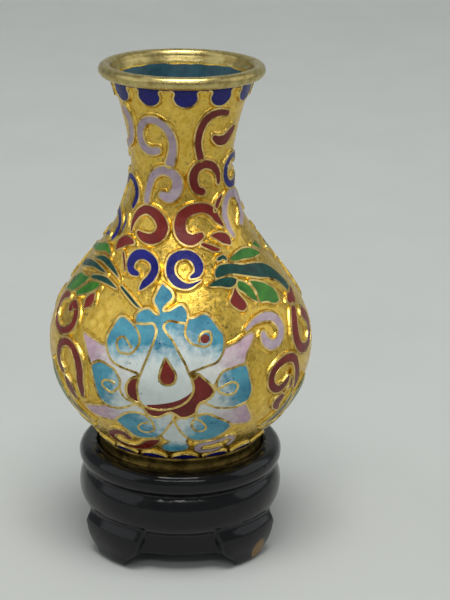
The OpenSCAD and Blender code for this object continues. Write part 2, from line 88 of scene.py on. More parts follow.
def place(x, s, depth):
    """Points of the flat pattern carried to the vase.

    x runs along the surface, s up the outline, and depth lies under it.
    """
    chart_h = np.interp(s, CHART_S, CHART_H)
    h = np.interp(chart_h, [FOOT_TOP, NECK_Z, CHART_LIP_Z], [FOOT_TOP, NECK_Z, LIP_Z])
    r = np.interp(h, ROWS_H, ROWS_R)
    lean = np.interp(h, ROWS_H, ROWS_LEAN)
    n = np.sqrt(1 + lean * lean)
    angle = x / np.interp(chart_h, CHART_H, CHART_R)
    q = r - depth / n
    z = h + depth * lean / n + SEAT
    return np.stack([q * np.sin(angle), -q * np.cos(angle), z], axis=1) * MM


# ---------------------------------------------------------------- modelling helpers
def pick(*objects):
    """Selects only these objects and makes the first one active."""
    bpy.ops.object.select_all(action="DESELECT")
    for obj in objects:
        obj.select_set(True)
    bpy.context.view_layer.objects.active = objects[0]


def start_edit(obj):
    pick(obj)
    bpy.ops.object.mode_set(mode="EDIT")
    bpy.ops.mesh.select_all(action="SELECT")


def end_edit():
    bpy.ops.object.mode_set(mode="OBJECT")


def line_curve(name, points, closed):
    """A curve of straight steps through points of (x, y) or (x, y, z)."""
    bpy.ops.curve.primitive_bezier_curve_add()
    obj = bpy.context.object
    obj.name = name
    obj.data.splines.clear()
    spline = obj.data.splines.new("POLY")
    spline.points.add(len(points) - 1)
    for end, point in zip(spline.points, points):
        end.co = (point[0], point[1], point[2] if len(point) > 2 else 0, 1)
    spline.use_cyclic_u = closed
    return obj


def to_mesh(obj):
    pick(obj)
    bpy.ops.object.convert(target="MESH")
    return obj


def join(name, objects):
    pick(*objects)
    if len(objects) > 1:
        bpy.ops.object.join()
    obj = bpy.context.object
    obj.name = name
    obj.data.name = name
    return obj


def read_points(obj):
    co = np.empty(len(obj.data.vertices) * 3)
    obj.data.vertices.foreach_get("co", co)
    return co.reshape(-1, 3)


def write_points(obj, co):
    obj.data.vertices.foreach_set("co", np.ascontiguousarray(co, dtype=np.float32).ravel())
    obj.data.update()


def wrap(obj):
    """Carries a flat piece (x, s, minus depth) to the vase."""
    co = read_points(obj)
    write_points(obj, place(co[:, 0], co[:, 1], -co[:, 2]))


def smooth_shading(obj, angle=40):
    pick(obj)
    bpy.ops.object.shade_smooth_by_angle(angle=math.radians(angle))


def apply_modifier(obj, kind, **settings):
    pick(obj)
    modifier = obj.modifiers.new(kind.title(), kind)
    for key, value in settings.items():
        setattr(modifier, key, value)
    bpy.ops.object.modifier_apply(modifier=modifier.name)


def tidy_faces(obj, merge):
    """Merges doubles and turns every face outwards."""
    start_edit(obj)
    bpy.ops.mesh.remove_doubles(threshold=merge)
    bpy.ops.mesh.normals_make_consistent(inside=False)
    end_edit()


def thicken(obj, length):
    """Pulls a flat face along Z into a closed solid."""
    start_edit(obj)
    bpy.ops.mesh.extrude_region_move(TRANSFORM_OT_translate={"value": (0, 0, length)})
    bpy.ops.mesh.select_all(action="SELECT")
    bpy.ops.mesh.normals_make_consistent(inside=False)
    end_edit()


def turn_matrix(angle):
    """A turn about the vase's axis, in degrees."""
    return np.array(Matrix.Rotation(math.radians(angle), 3, "Z"))


def turned(name, profile, steps, closed=True):
    """A closed shape of revolution from a profile of (radius, height) in mm."""
    obj = line_curve(name, [(r, 0, z) for r, z in profile], closed)
    obj.data.dimensions = "3D"
    to_mesh(obj)
    obj.data.name = name
    start_edit(obj)
    bpy.ops.mesh.spin(steps=steps, angle=2 * math.pi, center=(0, 0, 0), axis=(0, 0, 1))
    end_edit()
    tidy_faces(obj, 0.002)
    return obj


def to_metres(obj):
    write_points(obj, read_points(obj) * MM)
    return obj


def copies_around(obj, angles):
    """Copies a wrapped piece round the vase's axis, one at each angle in degrees, and joins them."""
    parts = []
    flat = read_points(obj)
    for angle in angles:
        pick(obj)
        bpy.ops.object.duplicate()
        copy = bpy.context.object
        write_points(copy, flat @ turn_matrix(angle).T)
        parts.append(copy)
    name = obj.name
    bpy.data.objects.remove(obj)
    return join(name, parts)


# ---------------------------------------------------------------- lines of the pattern
CAP_TURNS = (45, 0, -45)       # degrees of the points on a stroke's round end
DOT_POINTS = 12


def through(points, closed, steps):
    """A smooth curve through points, with a few steps between each two."""
    p = np.asarray(points, float)
    n = len(p)
    out = []
    for i in range(n if closed else n - 1):
        if closed:
            a, b, c, d = p[i - 1], p[i], p[(i + 1) % n], p[(i + 2) % n]
        else:
            a, b, c, d = p[max(i - 1, 0)], p[i], p[i + 1], p[min(i + 2, n - 1)]
        for k in range(steps):
            t = k / steps
            cubic = (3 * b - a - 3 * c + d) * t ** 3
            out.append(0.5 * (2 * b + (c - a) * t + (2 * a - 5 * b + 4 * c - d) * t * t + cubic))
    if not closed:
        out.append(p[-1])
    return np.array(out)


def stroke(points, steps, wider):
    """Closed outline of a stroke of [x, s, half width] points, with round ends."""
    line = through(points, False, steps)
    line[:, 2] += wider
    ahead = np.gradient(line[:, :2], axis=0)
    ahead /= np.linalg.norm(ahead, axis=1)[:, None]
    side = np.stack([-ahead[:, 1], ahead[:, 0]], axis=1) * line[:, 2:3]
    left = line[:, :2] + side
    right = line[:, :2] - side
    caps = []
    for end, way in ((-1, 1), (0, -1)):
        reach = line[end, 2]
        for turn in CAP_TURNS:
            a = math.radians(turn)
            onward = way * math.cos(a) * ahead[end]
            across = way * math.sin(a) * side[end] / reach
            caps.append(line[end, :2] + reach * (onward + across))
    far_end, near_end = caps[:len(CAP_TURNS)], caps[len(CAP_TURNS):]
    return list(left) + far_end + list(right[::-1]) + near_end


def outline(points, steps=4):
    return list(through(points, True, steps))


def dot(x, s, radius):
    angles = np.linspace(0, 2 * math.pi, DOT_POINTS + 1)[:-1]
    return [(x + radius * math.cos(a), s + radius * math.sin(a)) for a in angles]


# ---------------------------------------------------------------- cells and wires
CELL_TOP = 0.02        # the enamel is polished down a hair below the wires
CELL_DEEP = 0.3
GRID = 1.0             # spacing of the cuts that let a flat cell follow the vase
WIRE_PROFILE = [(-0.44, -0.42), (-0.26, -0.31), (-0.17, -0.13), (-0.12, 0.0),
                (0.12, 0.0), (0.17, -0.13), (0.26, -0.31), (0.44, -0.42)]
WIRE_FACE = -0.15      # above this a wire shows its polished top, below it the gilt that runs up to it


def flat_cell(points, depth, fade=None):
    """One filled outline. fade is ((x, s) of the full colour, (x, s) of the pale end)."""
    obj = line_curve("cell", points, True)
    obj.data.dimensions = "2D"
    obj.data.fill_mode = "BOTH"
    to_mesh(obj)
    co = read_points(obj)
    values = np.zeros(len(co))
    if fade:
        start = np.array(fade[0])
        way = np.array(fade[1]) - start
        values = (co[:, :2] - start) @ way / (way @ way)
    layer = obj.data.attributes.new("fade", "FLOAT", "POINT")
    layer.data.foreach_set("value", values)
    co[:, 2] = -depth
    write_points(obj, co)
    return obj


def cut_in_grid(obj):
    """Cuts a flat piece every millimetre both ways."""
    co = read_points(obj)
    low, high = co.min(axis=0), co.max(axis=0)
    start_edit(obj)
    for axis in (0, 1):
        normal = (1, 0, 0) if axis == 0 else (0, 1, 0)
        for cut in np.arange(math.ceil(low[axis] / GRID) * GRID, high[axis], GRID):
            bpy.ops.mesh.select_all(action="SELECT")
            bpy.ops.mesh.bisect(plane_co=[cut * n for n in normal], plane_no=normal)
    end_edit()


def enamel_piece(name, cells, material, angles=(0, 180)):
    """Cells of one colour: [outline, depth, fade], filled, cut, thickened and carried to the vase."""
    obj = join(name, [flat_cell(points, depth, fade) for points, depth, fade in cells])
    cut_in_grid(obj)
    thicken(obj, -CELL_DEEP)
    wrap(obj)
    obj = copies_around(obj, angles)
    smooth_shading(obj)
    obj.data.materials.clear()
    obj.data.materials.append(material)
    return obj


def wire_piece(name, closed_lines, open_lines, angles=(0, 180), scale=1.0):
    """Flattened wires set on edge along the cells' outlines, with the gilt drawn up to their feet."""
    profile = line_curve("wire_profile", [(u * scale, z) for u, z in WIRE_PROFILE], True)
    parts = []
    for lines, closed in ((closed_lines, True), (open_lines, False)):
        for points in lines:
            obj = line_curve("wire", points, closed)
            obj.data.dimensions = "2D"
            obj.data.fill_mode = "NONE"
            obj.data.bevel_mode = "OBJECT"
            obj.data.bevel_object = profile
            obj.data.use_fill_caps = True
            parts.append(to_mesh(obj))
    bpy.data.objects.remove(profile)
    obj = join(name, parts)
    tidy_faces(obj, 0.0005)
    co = read_points(obj)
    faces = np.array([np.mean(co[list(f.vertices)][:, 2]) for f in obj.data.polygons])
    obj.data.materials.clear()
    obj.data.materials.append(MATERIALS["wire_gold"])
    obj.data.materials.append(MATERIALS["ground_gold"])
    obj.data.polygons.foreach_set("material_index", (faces < WIRE_FACE).astype(int))
    wrap(obj)
    obj = copies_around(obj, angles)
    smooth_shading(obj, 50)
    return obj


# ---------------------------------------------------------------- materials
def new_material(name, metallic=0.0, specular=0.5, ior=1.5, coat=0.0):
    """A material and its node tree, with the shader's constants set on its own sockets."""
    material = bpy.data.materials.new(name)
    material.use_nodes = True
    tree = material.node_tree
    shader = tree.nodes["Principled BSDF"]
    shader.inputs["Metallic"].default_value = metallic
    shader.inputs["Specular IOR Level"].default_value = specular
    shader.inputs["IOR"].default_value = ior
    shader.inputs["Coat Weight"].default_value = coat
    shader.inputs["Coat Roughness"].default_value = 0.08
    return material, tree, shader


def object_point(tree):
    return tree.nodes.new("ShaderNodeTexCoord").outputs["Object"]


def noise(tree, size_mm, detail=3.0, rough=0.55):
    node = tree.nodes.new("ShaderNodeTexNoise")
    node.inputs["Scale"].default_value = 1 / (size_mm * MM)
    node.inputs["Detail"].default_value = detail
    node.inputs["Roughness"].default_value = rough
    tree.links.new(object_point(tree), node.inputs["Vector"])
    return node.outputs["Fac"]


def grains(tree, size_mm):
    """Distance to the middle of scattered grains."""
    node = tree.nodes.new("ShaderNodeTexVoronoi")
    node.inputs["Scale"].default_value = 1 / (size_mm * MM)
    tree.links.new(object_point(tree), node.inputs["Vector"])
    return node.outputs["Distance"]


def levels(tree, value, low, high, to_low=0.0, to_high=1.0):
    node = tree.nodes.new("ShaderNodeMapRange")
    node.inputs["From Min"].default_value = low
    node.inputs["From Max"].default_value = high
    node.inputs["To Min"].default_value = to_low
    node.inputs["To Max"].default_value = to_high
    tree.links.new(value, node.inputs["Value"])
    return node.outputs["Result"]


def reckon(tree, operation, a, b):
    node = tree.nodes.new("ShaderNodeMath")
    node.operation = operation
    for socket, value in zip(node.inputs, (a, b)):
        if isinstance(value, (int, float)):
            socket.default_value = value
        else:
            tree.links.new(value, socket)
    return node.outputs["Value"]


def blend(tree, factor, a, b):
    """Mixes two colours, each a socket or an (r, g, b)."""
    node = tree.nodes.new("ShaderNodeMix")
    node.data_type = "RGBA"
    tree.links.new(factor, node.inputs["Factor"])
    for socket, value in ((node.inputs["A"], a), (node.inputs["B"], b)):
        if isinstance(value, tuple):
            socket.default_value = (*value, 1)
        else:
            tree.links.new(value, socket)
    return node.outputs["Result"]


def bump(tree, shader, height, depth_mm, strength=1.0):
    node = tree.nodes.new("ShaderNodeBump")
    node.inputs["Distance"].default_value = depth_mm * MM
    node.inputs["Strength"].default_value = strength
    tree.links.new(height, node.inputs["Height"])
    tree.links.new(node.outputs["Normal"], shader.inputs["Normal"])


def wandering_gloss(tree, shader, size_mm, low, high, detail=2.0):
    """Roughness that wanders between low and high."""
    value = levels(tree, noise(tree, size_mm, detail), 0.3, 0.7, low, high)
    tree.links.new(value, shader.inputs["Roughness"])


def attribute(tree, name):
    node = tree.nodes.new("ShaderNodeAttribute")
    node.attribute_name = name
    return node.outputs["Fac"]


def linear(r, g, b):
    """A colour given in everyday 0 to 255 values."""
    return tuple(v / 255 / 12.92 if v <= 10 else ((v / 255 + 0.055) / 1.055) ** 2.4
                 for v in (r, g, b))


def enamel(name, dark, light, pale=None, cloud_mm=2.2):
    """Fired and polished glass: cloudy colour, a few pits, a soft gloss; pale ends the fade."""
    material, tree, shader = new_material(name, specular=0.3, ior=1.5)
    cloud = levels(tree, noise(tree, cloud_mm, 4.0, 0.6), 0.32, 0.68)
    colour = blend(tree, cloud, linear(*dark), linear(*light))
    if pale:
        stray = levels(tree, noise(tree, 1.1, 4.0, 0.65), 0.25, 0.75, -0.38, 0.38)
        fade = levels(tree, reckon(tree, "ADD", attribute(tree, "fade"), stray), 0.1, 0.95)
        streak = blend(tree, cloud, linear(*pale), linear(*[min(255, v + 14) for v in pale]))
        colour = blend(tree, fade, colour, streak)
    speck = levels(tree, grains(tree, 0.9), 0.09, 0.15, 1.0, 0.0)
    few = levels(tree, noise(tree, 1.7, 1.0), 0.53, 0.58)
    pits = reckon(tree, "MULTIPLY", speck, few)
    colour = blend(tree, pits, colour, linear(*[v * 0.35 for v in dark]))
    tree.links.new(colour, shader.inputs["Base Color"])
    wandering_gloss(tree, shader, 0.9, 0.2, 0.36)
    surface = reckon(tree, "SUBTRACT", noise(tree, 0.8, 3.0), reckon(tree, "MULTIPLY", pits, 1.6))
    bump(tree, shader, surface, 0.02, 0.6)
    return material


def gold(name, deep, bright, rough, grain, tarnish, tarnish_share):
    """Gilding over copper: its colour wanders, and tarnish sits in patches.

    rough is the least and the most roughness, grain the size and depth of its texture in mm.
    """
    material, tree, shader = new_material(name, metallic=1.0)
    wander = levels(tree, noise(tree, 1.3, 3.0), 0.35, 0.65)
    colour = blend(tree, wander, linear(*deep), linear(*bright))
    patches = levels(tree, noise(tree, 2.6, 5.0, 0.65), tarnish_share, tarnish_share + 0.16, 1.0, 0.0)
    colour = blend(tree, patches, colour, linear(*tarnish))
    tree.links.new(colour, shader.inputs["Base Color"])
    wandering_gloss(tree, shader, 0.7, *rough)
    bump(tree, shader, noise(tree, grain[0], 2.0), grain[1])
    return material


def ground_gold():
    """Bright stippled gilding, with painted brown shade in the hollows beside the wires."""
    material, tree, shader = new_material("ground_gold", metallic=1.0)
    wander = levels(tree, noise(tree, 0.9, 3.0), 0.35, 0.65)
    colour = blend(tree, wander, linear(208, 170, 66), linear(244, 208, 100))
    # painted shade: the ground turns brown next to the wires, where shade falls in the hollows, broken up
    # by noise
    stray = levels(tree, noise(tree, 0.9, 3.0, 0.6), 0.5, 0.72, 0.0, 0.85)
    painted_shade = reckon(tree, "MULTIPLY", attribute(tree, "recess"), stray)
    colour = blend(tree, painted_shade, colour, linear(104, 72, 24))
    tree.links.new(colour, shader.inputs["Base Color"])
    wandering_gloss(tree, shader, 0.5, 0.2, 0.4)
    bump(tree, shader, noise(tree, 0.24, 2.0), 0.03, 0.8)
    return material


def black_lacquer():
    """Thick dark lacquer over carved wood: brush sags, dust specks, and bare wood on one worn foot."""
    material, tree, shader = new_material("black_lacquer", specular=0.32, ior=1.5)
    cloud = levels(tree, noise(tree, 5, 3.0), 0.35, 0.65)
    tone = blend(tree, cloud, linear(7, 8, 9), linear(15, 15, 16))
    speck = levels(tree, grains(tree, 1.9), 0.035, 0.06, 1.0, 0.0)
    dust = reckon(tree, "MULTIPLY", speck, levels(tree, noise(tree, 3.1, 1.0), 0.55, 0.6))
    tone = blend(tree, dust, tone, linear(120, 118, 112))
    worn = levels(tree, attribute(tree, "worn"), 0.25, 0.6)
    tone = blend(tree, worn, tone, linear(122, 92, 40))
    tree.links.new(tone, shader.inputs["Base Color"])
    wandering_gloss(tree, shader, 2.4, 0.07, 0.2, 4.0)
    bump(tree, shader, noise(tree, 1.6, 3.0), 0.06, 0.5)
    return material


MATERIALS = {
    "cobalt": enamel("cobalt_enamel", (12, 12, 88), (20, 20, 118)),
    "red": enamel("red_enamel", (92, 22, 16), (118, 35, 26)),
    "lilac": enamel("lilac_enamel", (152, 132, 146), (180, 164, 172), cloud_mm=1.4),
    "dark_green": enamel("dark_green_enamel", (6, 42, 38), (12, 68, 58), cloud_mm=1.6),
    "green": enamel("green_enamel", (22, 76, 24), (62, 126, 32), cloud_mm=2.4),
    "turquoise": enamel("turquoise_enamel", (48, 116, 142), (84, 154, 172), (192, 200, 196)),
    "white": enamel("white_enamel", (176, 188, 186), (200, 206, 202)),
    "pink": enamel("pink_enamel", (166, 136, 152), (196, 168, 178), (198, 200, 194), cloud_mm=1.3),
    "teal": enamel("teal_enamel", (20, 54, 66), (40, 82, 94), cloud_mm=3.0),
    "ground_gold": ground_gold(),
    "wire_gold": gold("wire_gold", (198, 170, 92), (228, 202, 130), (0.26, 0.4), (0.3, 0.006),
                      (112, 80, 28), 0.32),
    "rim_gold": gold("rim_gold", (176, 158, 98), (200, 182, 120), (0.24, 0.36), (1.2, 0.012),
                     (150, 128, 70), 0.3),
    "foot_gold": gold("foot_gold", (124, 104, 54), (150, 126, 66), (0.3, 0.45), (0.6, 0.015),
                      (86, 70, 34), 0.36),
    "copper": gold("bare_copper", (150, 84, 46), (190, 116, 72), (0.3, 0.5), (0.5, 0.02),
                   (60, 40, 24), 0.4),
    "lacquer": black_lacquer(),
}


def finish_piece(piece, body, slot, *nodes):
    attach(piece, body)
    if nodes:
        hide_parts(*nodes)


# ---------------------------------------------------------------- the neck
NECK_STROKES = {
    "lilac": [
        [(-3.4, 48.6, 0.5), (-4.6, 48.4, 0.55), (-5.7, 49, 0.6), (-6.25, 50.2, 0.55), (-6.15, 51.6, 0.55),
         (-5.4, 52.7, 0.5), (-4.2, 53.05, 0.5), (-2.9, 52.6, 0.5), (-1.8, 51.5, 0.5), (-1.25, 50, 0.5),
         (-1.25, 48.4, 0.55), (-1.6, 46.9, 0.6)],
        [(-5.1, 41.4, 0.45), (-4.75, 43.2, 0.45), (-4.1, 44.9, 0.5), (-2.9, 45.8, 0.55), (-1.6, 45.7, 0.6),
         (-0.65, 44.7, 0.65), (-0.7, 43.2, 0.7), (-1.6, 42.25, 0.7), (-2.6, 42.4, 0.55)],
        [(-9.6, 48.6, 0.5), (-8.4, 49.6, 0.6), (-8.2, 51.3, 0.6), (-8.8, 53, 0.6), (-9.8, 53.9, 0.5)],
        [(8, 36.2, 0.25), (7.1, 37.6, 0.4), (6.55, 39.3, 0.5), (6.9, 41, 0.55), (8.2, 41.9, 0.55),
         (9.8, 41.5, 0.6), (10.9, 40.2, 0.7), (11, 38.6, 0.7), (10.2, 37.6, 0.5)],
    ],
    "red": [
        [(2.6, 47.7, 0.5), (2.25, 49.5, 0.46), (2.45, 51.3, 0.5), (3.1, 52.8, 0.52), (4.2, 53.8, 0.54),
         (5.6, 54.1, 0.52), (6.9, 53.85, 0.42)],
        [(4.75, 50.35, 0.45), (5.5, 49.9, 0.7), (6.6, 49.9, 0.75), (7.7, 50.7, 0.65), (8.45, 51.4, 0.4)],
        [(5.5, 43.9, 0.3), (5.35, 45.2, 0.45), (4.5, 46.3, 0.55), (3.2, 46.7, 0.6), (2, 46.1, 0.6),
         (1.6, 44.8, 0.6), (2, 43.4, 0.55), (2.9, 42.9, 0.5)],
        [(4.9, 40.2, 0.2), (5.4, 41.2, 0.35), (6, 41.9, 0.2)],
    ],
    "cobalt": [
        [(10.2, 46.4, 0.35), (9.3, 47.1, 0.4), (8.2, 46.8, 0.45), (7.2, 45.8, 0.5), (7, 44.4, 0.5),
         (7.8, 43.3, 0.5), (9.2, 43.1, 0.5), (10.3, 43.9, 0.4)],
        [(-7.7, 40.1, 0.3), (-7, 41.6, 0.4), (-7.3, 43, 0.45), (-8.4, 43.9, 0.45), (-9.6, 43.8, 0.4),
         (-10.2, 42.9, 0.3)],
    ],
}

# ---------------------------------------------------------------- the shoulder
SHOULDER_STROKES = {
    "red": [
        [(-7.6, 36.9, 0.2), (-7.3, 38.2, 0.4), (-6.4, 39.5, 0.55), (-5, 40.2, 0.65), (-3.5, 39.7, 0.8),
         (-2.6, 38.3, 0.85), (-3, 37, 0.85), (-4.2, 36.3, 0.8), (-5.4, 36.4, 0.7), (-6.2, 36.8, 0.45)],
        [(6.3, 37.8, 0.2), (5.2, 38.9, 0.5), (4.4, 40, 0.65), (3.1, 40.7, 0.7), (1.5, 40.6, 0.75),
         (0.2, 39.8, 0.8), (-0.2, 38.4, 0.85), (0.2, 37, 0.85), (1.4, 36.4, 0.85), (2.6, 36.9, 0.6)],
        [(4.3, 36.8, 0.2), (5.3, 36.6, 0.6), (6.5, 36, 0.75), (7.1, 35.4, 0.4)],
        [(-10.2, 33.8, 0.2), (-9.6, 34.7, 0.7), (-8.4, 35.4, 0.7), (-7.2, 35.4, 0.4)],
        [(-8.7, 33.6, 0.25), (-8.4, 32.6, 0.25), (-8.1, 31.3, 0.15)],
        [(2.9, 35.7, 0.3), (3.6, 35.4, 0.35), (4.6, 34.9, 0.4), (5.3, 34.7, 0.25)],
    ],
    "cobalt": [
        [(-6.2, 31.2, 0.45), (-7, 31.5, 0.65), (-7.2, 32.6, 0.7), (-6.4, 33.7, 0.75), (-5.1, 34, 0.75),
         (-3.9, 33.3, 0.65), (-3.6, 32.1, 0.6), (-4.1, 30.9, 0.6), (-5, 29.9, 0.55), (-5.6, 29.1, 0.25)],
        [(1.4, 31.2, 0.35), (2.2, 31.7, 0.6), (2.35, 32.8, 0.7), (1.6, 34, 0.7), (0.4, 34.4, 0.7),
         (-0.9, 33.9, 0.7), (-1.45, 32.7, 0.65), (-1.3, 31.4, 0.65), (-0.4, 30.3, 0.65), (1, 29.9, 0.45),
         (2.6, 30.6, 0.15)],
        [(-12.8, 38.6, 0.4), (-11.4, 38.3, 0.5), (-10.6, 37.2, 0.5), (-11, 35.9, 0.5), (-11.9, 34.8, 0.3)],
        [(-14.6, 34.9, 0.3), (-13.4, 35.2, 0.35)],
        [(-9, 38.7, 0.15), (-9.1, 37.6, 0.25), (-9.7, 36.2, 0.15)],
    ],
}

# ---------------------------------------------------------------- leaves and buds
LEAF_STROKES = {
    "green": [
        [(-19.5, 32, 0.4), (-17, 32.4, 0.55), (-14.6, 33, 0.6), (-12.8, 33.4, 0.6), (-11.6, 33, 0.3)],
        [(-17.8, 25.9, 0.35), (-16, 26.8, 0.65), (-14.3, 27.7, 0.7), (-12.9, 28.3, 0.4)],
        [(-22.5, 25.3, 0.3), (-20.5, 26.3, 1), (-18.5, 27.4, 1.1), (-16.8, 28, 0.6), (-15.6, 28.6, 0.2)],
        [(22.3, 13, 0.15), (22, 11.6, 0.75), (21.2, 10.2, 1.1), (20, 8.9, 1.05), (18.7, 7.9, 0.6),
         (17.4, 7.2, 0.15)],
        [(-22.9, 15.4, 0.2), (-22.3, 13.4, 0.75), (-21.3, 11.5, 0.95), (-20, 9.8, 0.8), (-18.5, 8.4, 0.45),
         (-17.3, 7.6, 0.15)],
    ],
    "dark_green": [
        [(-15.6, 31.3, 0.15), (-13.5, 31.8, 0.4), (-11.8, 31.7, 0.55), (-10.2, 31, 0.45),
         (-9.1, 30.1, 0.15)],
        [(-20, 29.3, 0.4), (-17.5, 30.1, 0.55), (-15, 30.5, 0.45), (-13, 30.4, 0.35), (-11.7, 30.2, 0.15)],
        [(-14.8, 28.9, 0.3), (-13, 29.2, 0.45), (-11.2, 29.2, 0.5), (-9.4, 28.6, 0.2)],
        [(-8.5, 28.9, 0.3), (-7.4, 28, 0.35), (-6.2, 26.9, 0.3), (-5.5, 26.4, 0.15)],
        [(5.2, 33.4, 0.35), (5.9, 33.6, 0.4), (6.4, 33.2, 0.25)],
        [(18.6, 11.4, 0.15), (18, 10.1, 0.5), (17, 8.9, 0.65), (15.5, 7.7, 0.6), (13.9, 6.9, 0.4),
         (12.4, 6.4, 0.15)],
        [(18.3, 6.5, 0.2), (16.6, 5.9, 0.4), (14.6, 5.4, 0.35), (12.8, 5.1, 0.15)],
        [(-18.3, 11, 0.15), (-17.6, 9.4, 0.45), (-16.3, 8.2, 0.45), (-14.8, 7.4, 0.35), (-13.6, 7, 0.15)],
        [(-17.2, 6.6, 0.2), (-15.6, 6, 0.4), (-14, 5.4, 0.15)],
    ],
    "red": [
        [(-15.2, 24.6, 0.2), (-14.6, 25.4, 0.75), (-13.9, 26.2, 0.7), (-13.4, 27, 0.2)],
    ],
}
LEAF_SHAPES = {
    "green": [
        [(7, 33.3), (9.05, 34.2), (11.2, 33.9), (12.9, 33.2), (13.8, 32.5), (11.9, 32.35), (9.5, 32.6),
         (7.6, 32.7)],
        [(12, 34.1), (12.9, 34.4), (14.05, 33.7), (14.7, 32.8), (13.3, 33.3)],
        [(8.1, 30), (9.5, 29.4), (10.7, 28.2), (11.4, 26.4), (10.2, 27), (9.05, 28), (8, 28.9)],
        [(10.2, 29.6), (12.3, 29), (14.1, 28.1), (15.5, 26.9), (15.9, 25.5), (14.5, 25.4), (13.1, 26),
         (11.7, 26.3), (11.2, 27.8), (10.5, 28.8)],
    ],
    "dark_green": [
        [(5.3, 32.6), (7.1, 32.6), (9.05, 32.1), (11.4, 31.8), (14.3, 31), (16.9, 29.5), (18.9, 27.9),
         (20.2, 26.5), (19.2, 25.9), (17.9, 26.9), (16.4, 28), (14.4, 28.9), (12.4, 29.4), (10.2, 30.1),
         (7.1, 31), (5.7, 30.8), (4.7, 30.8), (4.6, 31.8)],
        [(3.6, 29.7), (4.8, 30.6), (6.7, 30.8), (8.1, 30.1), (7.1, 29.1), (5.2, 29.5)],
    ],
    "red": [
        [(18, 24.8), (19.3, 24), (20.7, 23.9), (21.2, 25), (20.6, 26.2), (19.4, 25.7), (18.8, 25.9)],
        [(7.6, 29.2), (8.2, 28.2), (9.3, 26.8), (9.4, 26), (8.6, 25.6), (7.4, 26.3), (6.7, 27.2),
         (7.1, 28.2)],
    ],
}

# ---------------------------------------------------------------- scrolls round the lotus
SCROLL_STROKES = {
    "lilac": [
        [(9.2, 23.1, 0.2), (10.5, 23.9, 0.4), (12.1, 24.2, 0.55), (13.9, 23.8, 0.55), (15.1, 22.7, 0.6),
         (15.4, 21.4, 0.6), (14.7, 20.4, 0.6), (13.4, 20.2, 0.65), (12.3, 20.9, 0.6), (11.9, 21.9, 0.45)],
        [(5.6, 3, 0.3), (4.4, 2.55, 0.4), (3, 2.6, 0.45), (2.35, 3.5, 0.45), (2.9, 4.6, 0.45),
         (4.2, 4.9, 0.4), (5.6, 5.3, 0.35), (7, 5.8, 0.4), (7.5, 4.9, 0.35), (6.9, 3.8, 0.3)],
    ],
    "red": [
        [(19.4, 23.4, 0.75), (19, 21.7, 0.85), (18.9, 20, 0.85), (19.6, 18.5, 0.75), (21, 17.7, 0.65),
         (22.8, 17.9, 0.6), (24, 19.2, 0.7), (23.8, 20.9, 0.8), (22.4, 22.2, 0.75)],
        [(16.9, 14.6, 0.3), (15.9, 13.6, 0.55), (14.5, 13.4, 0.6), (13.4, 14.5, 0.6), (13.5, 16.1, 0.55),
         (14.8, 17.2, 0.6), (16.6, 17.6, 0.6), (18.2, 17, 0.6), (19, 15.4, 0.6), (19.1, 13.6, 0.6),
         (18.9, 12.4, 0.35)],
        [(17.5, 14.3, 0.1), (17.7, 13.1, 0.3), (17, 12.6, 0.1)],
        [(15.2, 9.5, 0.35), (14.8, 10.6, 0.85), (15.7, 11.6, 0.6)],
        [(-18.8, 23.6, 0.5), (-17.6, 24.4, 0.6), (-16.9, 23.3, 0.55), (-17.4, 21.7, 0.5), (-19, 20.6, 0.45),
         (-21.2, 20.3, 0.45), (-23, 21.3, 0.5), (-23.2, 23, 0.5), (-22, 24.4, 0.5), (-20.3, 25, 0.4)],
        [(-15, 12, 0.3), (-15.1, 13.2, 0.6), (-15.3, 14.6, 0.65), (-15.3, 16.2, 0.7), (-16, 18, 0.7),
         (-17.6, 19.2, 0.5), (-19.4, 18.9, 0.5), (-20.5, 17.5, 0.5), (-20.4, 15.8, 0.5),
         (-19.4, 14.8, 0.45)],
        [(-18.9, 14.1, 0.15), (-18.2, 13.1, 0.65), (-17.4, 12, 0.65), (-16.7, 11.1, 0.35)],
        [(-7.4, 5.3, 0.45), (-8, 6.1, 0.5), (-9.2, 6.3, 0.6), (-10.2, 5.6, 0.6), (-10.2, 4.5, 0.45),
         (-9.2, 3.4, 0.35), (-7.6, 2.75, 0.35), (-6, 2.9, 0.55), (-4.9, 3.7, 0.75), (-4.2, 4.8, 0.75),
         (-3.2, 5.6, 0.4)],
    ],
}

